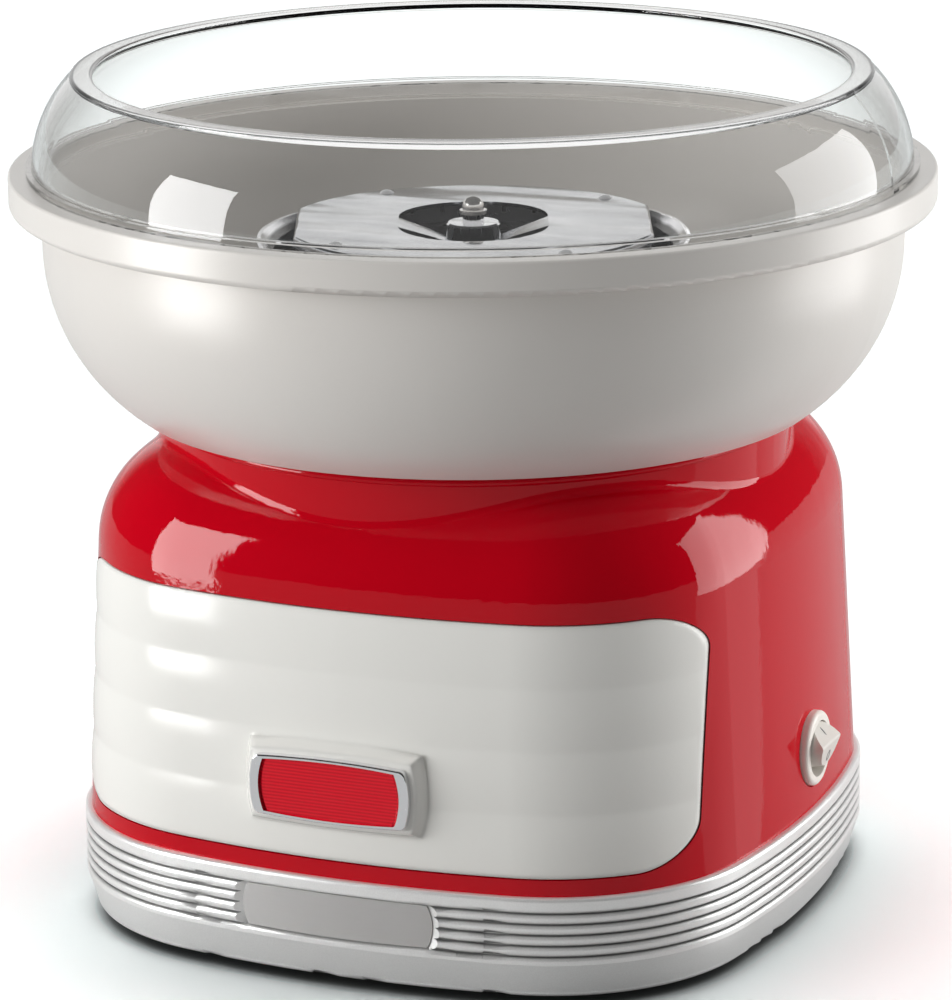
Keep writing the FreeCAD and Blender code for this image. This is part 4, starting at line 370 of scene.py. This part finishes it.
nut_alloy = brushed("nut_alloy", (0.80, 0.78, 0.76), 0.20, FINE, depth=0.000002, metallic=0.8)
# The pan's alloy is near black all over
pan_alloy = brushed("near_black_alloy", (0.07, 0.066, 0.062), 0.32, MIDDLING)
perforated = brushed("perforated_sheet", (0.25, 0.25, 0.26), 0.3, MIDDLING)
alloy = pressed_alloy("pressed_alloy", (0.72, 0.725, 0.74), (0.62, 0.63, 0.65))
sheet = pressed_alloy("pressed_sheet", (0.60, 0.605, 0.625), (0.36, 0.365, 0.38))

FINISHES = {
    "base_skirt": satin_silver(), "name_plate": plate, "bottom_plate": black, "rubber_feet": rubber,
    "body_screws": zinc, "terminal_block": block_white, "housing_shell": red,
    "front_panel": panel_white, "badge_frame": chrome, "badge_lens": badge_red(),
    "switch_bezel": bezel_white, "rocker_pin": steel, "switch_rocker": switch_white,
    "switch_contacts": brass, "cord_grommet": rubber, "bowl_gasket": silicone, "bowl": bowl_white,
    "splash_guard": clear_plastic(), "heater_pot": pot_painted_shade(), "pot_screws": zinc,
    "heating_element": sheath, "ceramic_insulators": ceramic, "thermostat": black,
    "thermal_fuse": zinc, "motor_bracket": zinc, "rubber_bushes": rubber, "motor_screws": zinc,
    "motor_can": motor_steel, "motor_end_cap": black, "carbon_brushes": carbon,
    "lower_bearing": bronze, "upper_bearing": bronze, "motor_magnets": ferrite,
    "armature": laminations, "commutator": copper, "motor_shaft": steel, "cooling_fan": black,
    "drive_hub": pot_alloy, "drive_pin": steel, "head_spacer": pot_alloy, "head_collar": alloy,
    "head_top": sheet, "head_pan": pan_alloy, "head_band": perforated, "head_rivets": bright_rivet,
    "nut_sleeve": polished, "domed_nut": nut_alloy,
}

for name, node in nodes.items():
    node.data.materials.clear()
    node.data.materials.append(FINISHES[name])


# ------------------------------------------------------------------------------------------
# Marks on the rocker: a ring for off and a bar for on, printed on its two faces
# ------------------------------------------------------------------------------------------

ACROSS = Vector((0, 1, 0))
PRINT_THICKNESS = 0.00006
LEAST_OUTWARD, MOST_SIDEWAYS = 0.5, 0.05
SAME_DIRECTION = 0.9999
SAME_PLANE = 0.00005


def add_mesh(name, mesh, material):
    """Makes an object of that material from a bmesh, and frees the bmesh."""
    data = bpy.data.meshes.new(name)
    mesh.to_mesh(data)
    mesh.free()
    data.materials.append(material)
    piece = bpy.data.objects.new(name, data)
    bpy.context.collection.objects.link(piece)
    return piece


def oval(width, height, count=32):
    """Points round an oval, from half its width and half its height."""
    angles = [2 * math.pi * step / count for step in range(count)]
    return [(width * math.cos(angle), height * math.sin(angle)) for angle in angles]


def rocker_face(upper):
    """Centre, outward normal and upward direction of one of the rocker's two flat faces."""
    outer = [face for face in nodes["switch_rocker"].data.polygons
             if face.normal.x > LEAST_OUTWARD and abs(face.normal.y) < MOST_SIDEWAYS
             and (face.normal.z > 0) == upper]
    largest = max(outer, key=lambda face: face.area)
    normal = largest.normal.copy()
    flat = [face for face in outer if face.normal.dot(normal) > SAME_DIRECTION
            and abs((face.center - largest.center).dot(normal)) < SAME_PLANE]
    area = sum(face.area for face in flat)
    centre = sum((face.center * face.area for face in flat), Vector()) / area
    return centre, normal, ACROSS.cross(normal) * -1


def printed(name, upper, rise, outer, inner):
    """A thin printed ring on a rocker face, that far above its middle, from two outlines."""
    centre, normal, up = rocker_face(upper)
    centre = centre + up * rise
    mesh = bmesh.new()
    edges = ((outer, 0), (outer, PRINT_THICKNESS), (inner, PRINT_THICKNESS), (inner, 0))
    rows = [[mesh.verts.new(centre + ACROSS * x + up * y + normal * lift) for x, y in outline]
            for outline, lift in edges]
    for first, second in zip(rows, rows[1:]):
        for index in range(len(outer)):
            after = (index + 1) % len(outer)
            mesh.faces.new((first[index], first[after], second[after], second[index]))
    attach(add_mesh(name, mesh, mark_grey), "rocker")


printed("off_mark", False, -0.0010, oval(0.00135, 0.0019), oval(0.00085, 0.0014))
printed("on_mark", True, 0.0006, oval(0.0003, 0.0016), oval(0.00001, 0.0002))


# ------------------------------------------------------------------------------------------
# Camera
# ------------------------------------------------------------------------------------------

AZIMUTH = 0.39619
PITCH = 0.26773
ROLL = -0.00961
DISTANCE = 1.49009
HEIGHT = 0.53417
FOCAL_IN_FRAME_HEIGHTS = 4.84887
SENSOR_HEIGHT = 36.0
FARTHEST_SEEN = 60.0


def standing(azimuth, distance, height):
    """The point at that azimuth in radians, that far from the shaft and that high."""
    x, y, _ = heading(azimuth)
    return Vector((x * distance, y * distance, height))


back = Vector(heading(AZIMUTH, PITCH))
level = Vector((math.cos(AZIMUTH), math.sin(AZIMUTH), 0.0))
over = back.cross(level)
camera_right = level * math.cos(ROLL) + over * math.sin(ROLL)
camera_up = over * math.cos(ROLL) - level * math.sin(ROLL)
camera_data = bpy.data.cameras.new("camera")
camera_data.sensor_fit = "VERTICAL"
camera_data.sensor_height = SENSOR_HEIGHT
camera_data.lens = FOCAL_IN_FRAME_HEIGHTS * SENSOR_HEIGHT
camera_data.clip_end = FARTHEST_SEEN
camera = bpy.data.objects.new("camera", camera_data)
bpy.context.collection.objects.link(camera)
turn = Matrix((camera_right, camera_up, back)).transposed().to_4x4()
camera.matrix_world = Matrix.Translation(standing(AZIMUTH, DISTANCE, HEIGHT)) @ turn
bpy.context.scene.camera = camera


# ------------------------------------------------------------------------------------------
# Floor, background and lamps
# ------------------------------------------------------------------------------------------

FLOOR_RADIUS = 9.0
FLOOR_CORNERS = 72
FLOOR_GREY = 0.66
SHOWN_IN_GLOSS = 0.25

# Shade of the floor close to the object, which deepens as less of what is above it is open
CONTACT_REACH = 0.10
CONTACT_SHADE = 0.12
CONTACT_SAMPLES = 12
CONTACT_LOW, CONTACT_HIGH = 0.20, 0.88

# Fill of the room, and how much of it is flagged off before the object
FILL = 0.70
FLAGGED = 0.78
FLAG_AZIMUTH, FLAG_ELEVATION = 42.0, 10.0
FLAG_START, FLAG_FULL = 78.0, 25.0

# The floor's colour as it is seen, at which its lit part is white under that fill
FLOOR_SHOWN = (1.43 / FILL, 1.51 / FILL, 1.51 / FILL)

# The room in gloss: dim, with a white backdrop behind the object
ROOM = 0.06
BACKDROP_AZIMUTH, BACKDROP_ELEVATION = -157.3, -5.0
BACKDROP_START, BACKDROP_FULL = 38.0, 14.0

SOFTBOX_DISTANCE = 0.90
SOFTBOX_WIDTH = 0.80
CARD_DISTANCE = 0.72
OVER_THE_FLOOR = 0.0005


def lies_in(name, points, material):
    """A flat stage piece from its corner points."""
    mesh = bmesh.new()
    mesh.faces.new([mesh.verts.new(point) for point in points])
    piece = add_mesh(name, mesh, material)
    return piece


def bare_material(name):
    """A material with no nodes yet, and its tree."""
    material = bpy.data.materials.new(name)
    material.use_nodes = True
    tree = Nodes(material.node_tree)
    tree.clear()
    return material, tree


def make_floor():
    """Shown white with the object's shadow on it; plain grey for the light that it returns."""
    material, tree = bare_material("floor_white")
    in_gloss = tree.sum_of("MULTIPLY", tree.ray("Glossy"), SHOWN_IN_GLOSS)
    seen = tree.sum_of("MAXIMUM", tree.ray("Camera", "Transmission"), in_gloss)
    near = tree.new("ShaderNodeAmbientOcclusion", samples=CONTACT_SAMPLES)
    near.inputs["Distance"].default_value = CONTACT_REACH
    contact = tree.spread(near.outputs["AO"], CONTACT_SHADE, 1.0, CONTACT_LOW, CONTACT_HIGH)
    color = tree.new("ShaderNodeCombineColor")
    for shown, channel in zip(FLOOR_SHOWN, color.inputs):
        extra = tree.sum_of("MULTIPLY", seen, shown - FLOOR_GREY)
        tone = tree.sum_of("ADD", extra, FLOOR_GREY)
        tree.link(tree.sum_of("MULTIPLY", tone, contact), channel)
    diffuse = tree.new("ShaderNodeBsdfDiffuse")
    tree.link(color.outputs["Color"], diffuse.inputs["Color"])
    tree.link(diffuse.outputs["BSDF"], tree.new("ShaderNodeOutputMaterial").inputs["Surface"])
    outline = [(x, y, 0.0) for x, y in oval(FLOOR_RADIUS, FLOOR_RADIUS, FLOOR_CORNERS)]
    unlit.objects.link(lies_in("floor", outline, material))
    unlit.collection_objects[0].light_linking.link_state = "EXCLUDE"


def make_world():
    """White where it is seen; a dim room with a white backdrop in gloss; soft fill for the rest."""
    world = bpy.data.worlds.new("studio")
    world.use_nodes = True
    tree = Nodes(world.node_tree)
    tree.clear()
    behind = tree.towards(BACKDROP_AZIMUTH, BACKDROP_ELEVATION, BACKDROP_START, BACKDROP_FULL)
    room = tree.sum_of("ADD", tree.sum_of("MULTIPLY", behind, 1.0 - ROOM), ROOM)
    before = tree.towards(FLAG_AZIMUTH, FLAG_ELEVATION, FLAG_START, FLAG_FULL)
    fill = tree.sum_of("ADD", tree.sum_of("MULTIPLY", before, -FLAGGED * FILL), FILL)
    lit = tree.mixed(tree.ray("Glossy"), tree.background(fill), tree.background(room))
    shown = tree.mixed(tree.ray("Camera", "Transmission"), lit, tree.background(1.0))
    tree.link(shown, tree.new("ShaderNodeOutputWorld").inputs["Surface"])
    bpy.context.scene.world = world


def softbox(name, azimuth, high, level):
    """An upright lamp that reaches up to a height, unseen in gloss, which leaves the floor unlit.

    The azimuth is in degrees. The level is how bright it alone shows a white surface that faces it.
    """
    data = bpy.data.lights.new(name, "AREA")
    data.shape = "RECTANGLE"
    data.size = SOFTBOX_WIDTH
    data.size_y = high
    data.energy = level * math.pi * math.pi * SOFTBOX_DISTANCE * SOFTBOX_DISTANCE
    lamp = bpy.data.objects.new(name, data)
    bpy.context.collection.objects.link(lamp)
    lamp.light_linking.receiver_collection = unlit
    lamp.visible_camera = False
    lamp.visible_glossy = False
    lamp.visible_transmission = False
    lamp.location = standing(math.radians(azimuth), SOFTBOX_DISTANCE, high / 2)
    aim = Vector((0.0, 0.0, high / 2)) - lamp.location
    lamp.rotation_euler = aim.to_track_quat("-Z", "Z").to_euler()


def glowing(name, points, radiance):
    """A flat stage piece that only gloss shows."""
    material, tree = bare_material(name)
    glow = tree.new("ShaderNodeEmission")
    glow.inputs["Color"].default_value = WHITE
    glow.inputs["Strength"].default_value = radiance
    tree.link(glow.outputs["Emission"], tree.new("ShaderNodeOutputMaterial").inputs["Surface"])
    material.cycles.emission_sampling = "NONE"
    piece = lies_in(name, points, material)
    piece.visible_camera = False
    piece.visible_diffuse = False
    piece.visible_transmission = False
    piece.visible_shadow = False


def card(name, azimuths, high, radiance):
    """The bright face of a softbox, upright on the line between two azimuths in degrees."""
    feet = [standing(math.radians(azimuth), CARD_DISTANCE, 0.0) for azimuth in azimuths]
    rise = Vector((0.0, 0.0, high))
    glowing(name, [feet[0], feet[1], feet[1] + rise, feet[0] + rise], radiance)


def light_pool(name, outline, radiance):
    """The light that a softbox throws on the floor."""
    glowing(name, [(x, y, OVER_THE_FLOOR) for x, y in outline], radiance)


# The lamps light all but what this collection excludes, which is the floor
unlit = bpy.data.collections.new("lit_by_the_fill_alone")
make_floor()
make_world()
softbox("left_softbox", azimuth=-44.0, high=0.55, level=0.71)
softbox("right_softbox", azimuth=118.0, high=0.24, level=1.08)
card("left_card", azimuths=(-59.5, -37.0), high=0.53, radiance=13.5)
card("right_card", azimuths=(139.0, 104.0), high=0.52, radiance=4.8)
light_pool("right_floor_light",
           outline=[(0.12, -0.05), (0.21, 0.11), (0.472, 0.543), (0.70, 0.17), (0.12, -0.07)],
           radiance=1.0)

guard = nodes["splash_guard"]
guard.visible_diffuse = False
guard.visible_shadow = False
bpy.context.scene.view_settings.view_transform = "Standard"
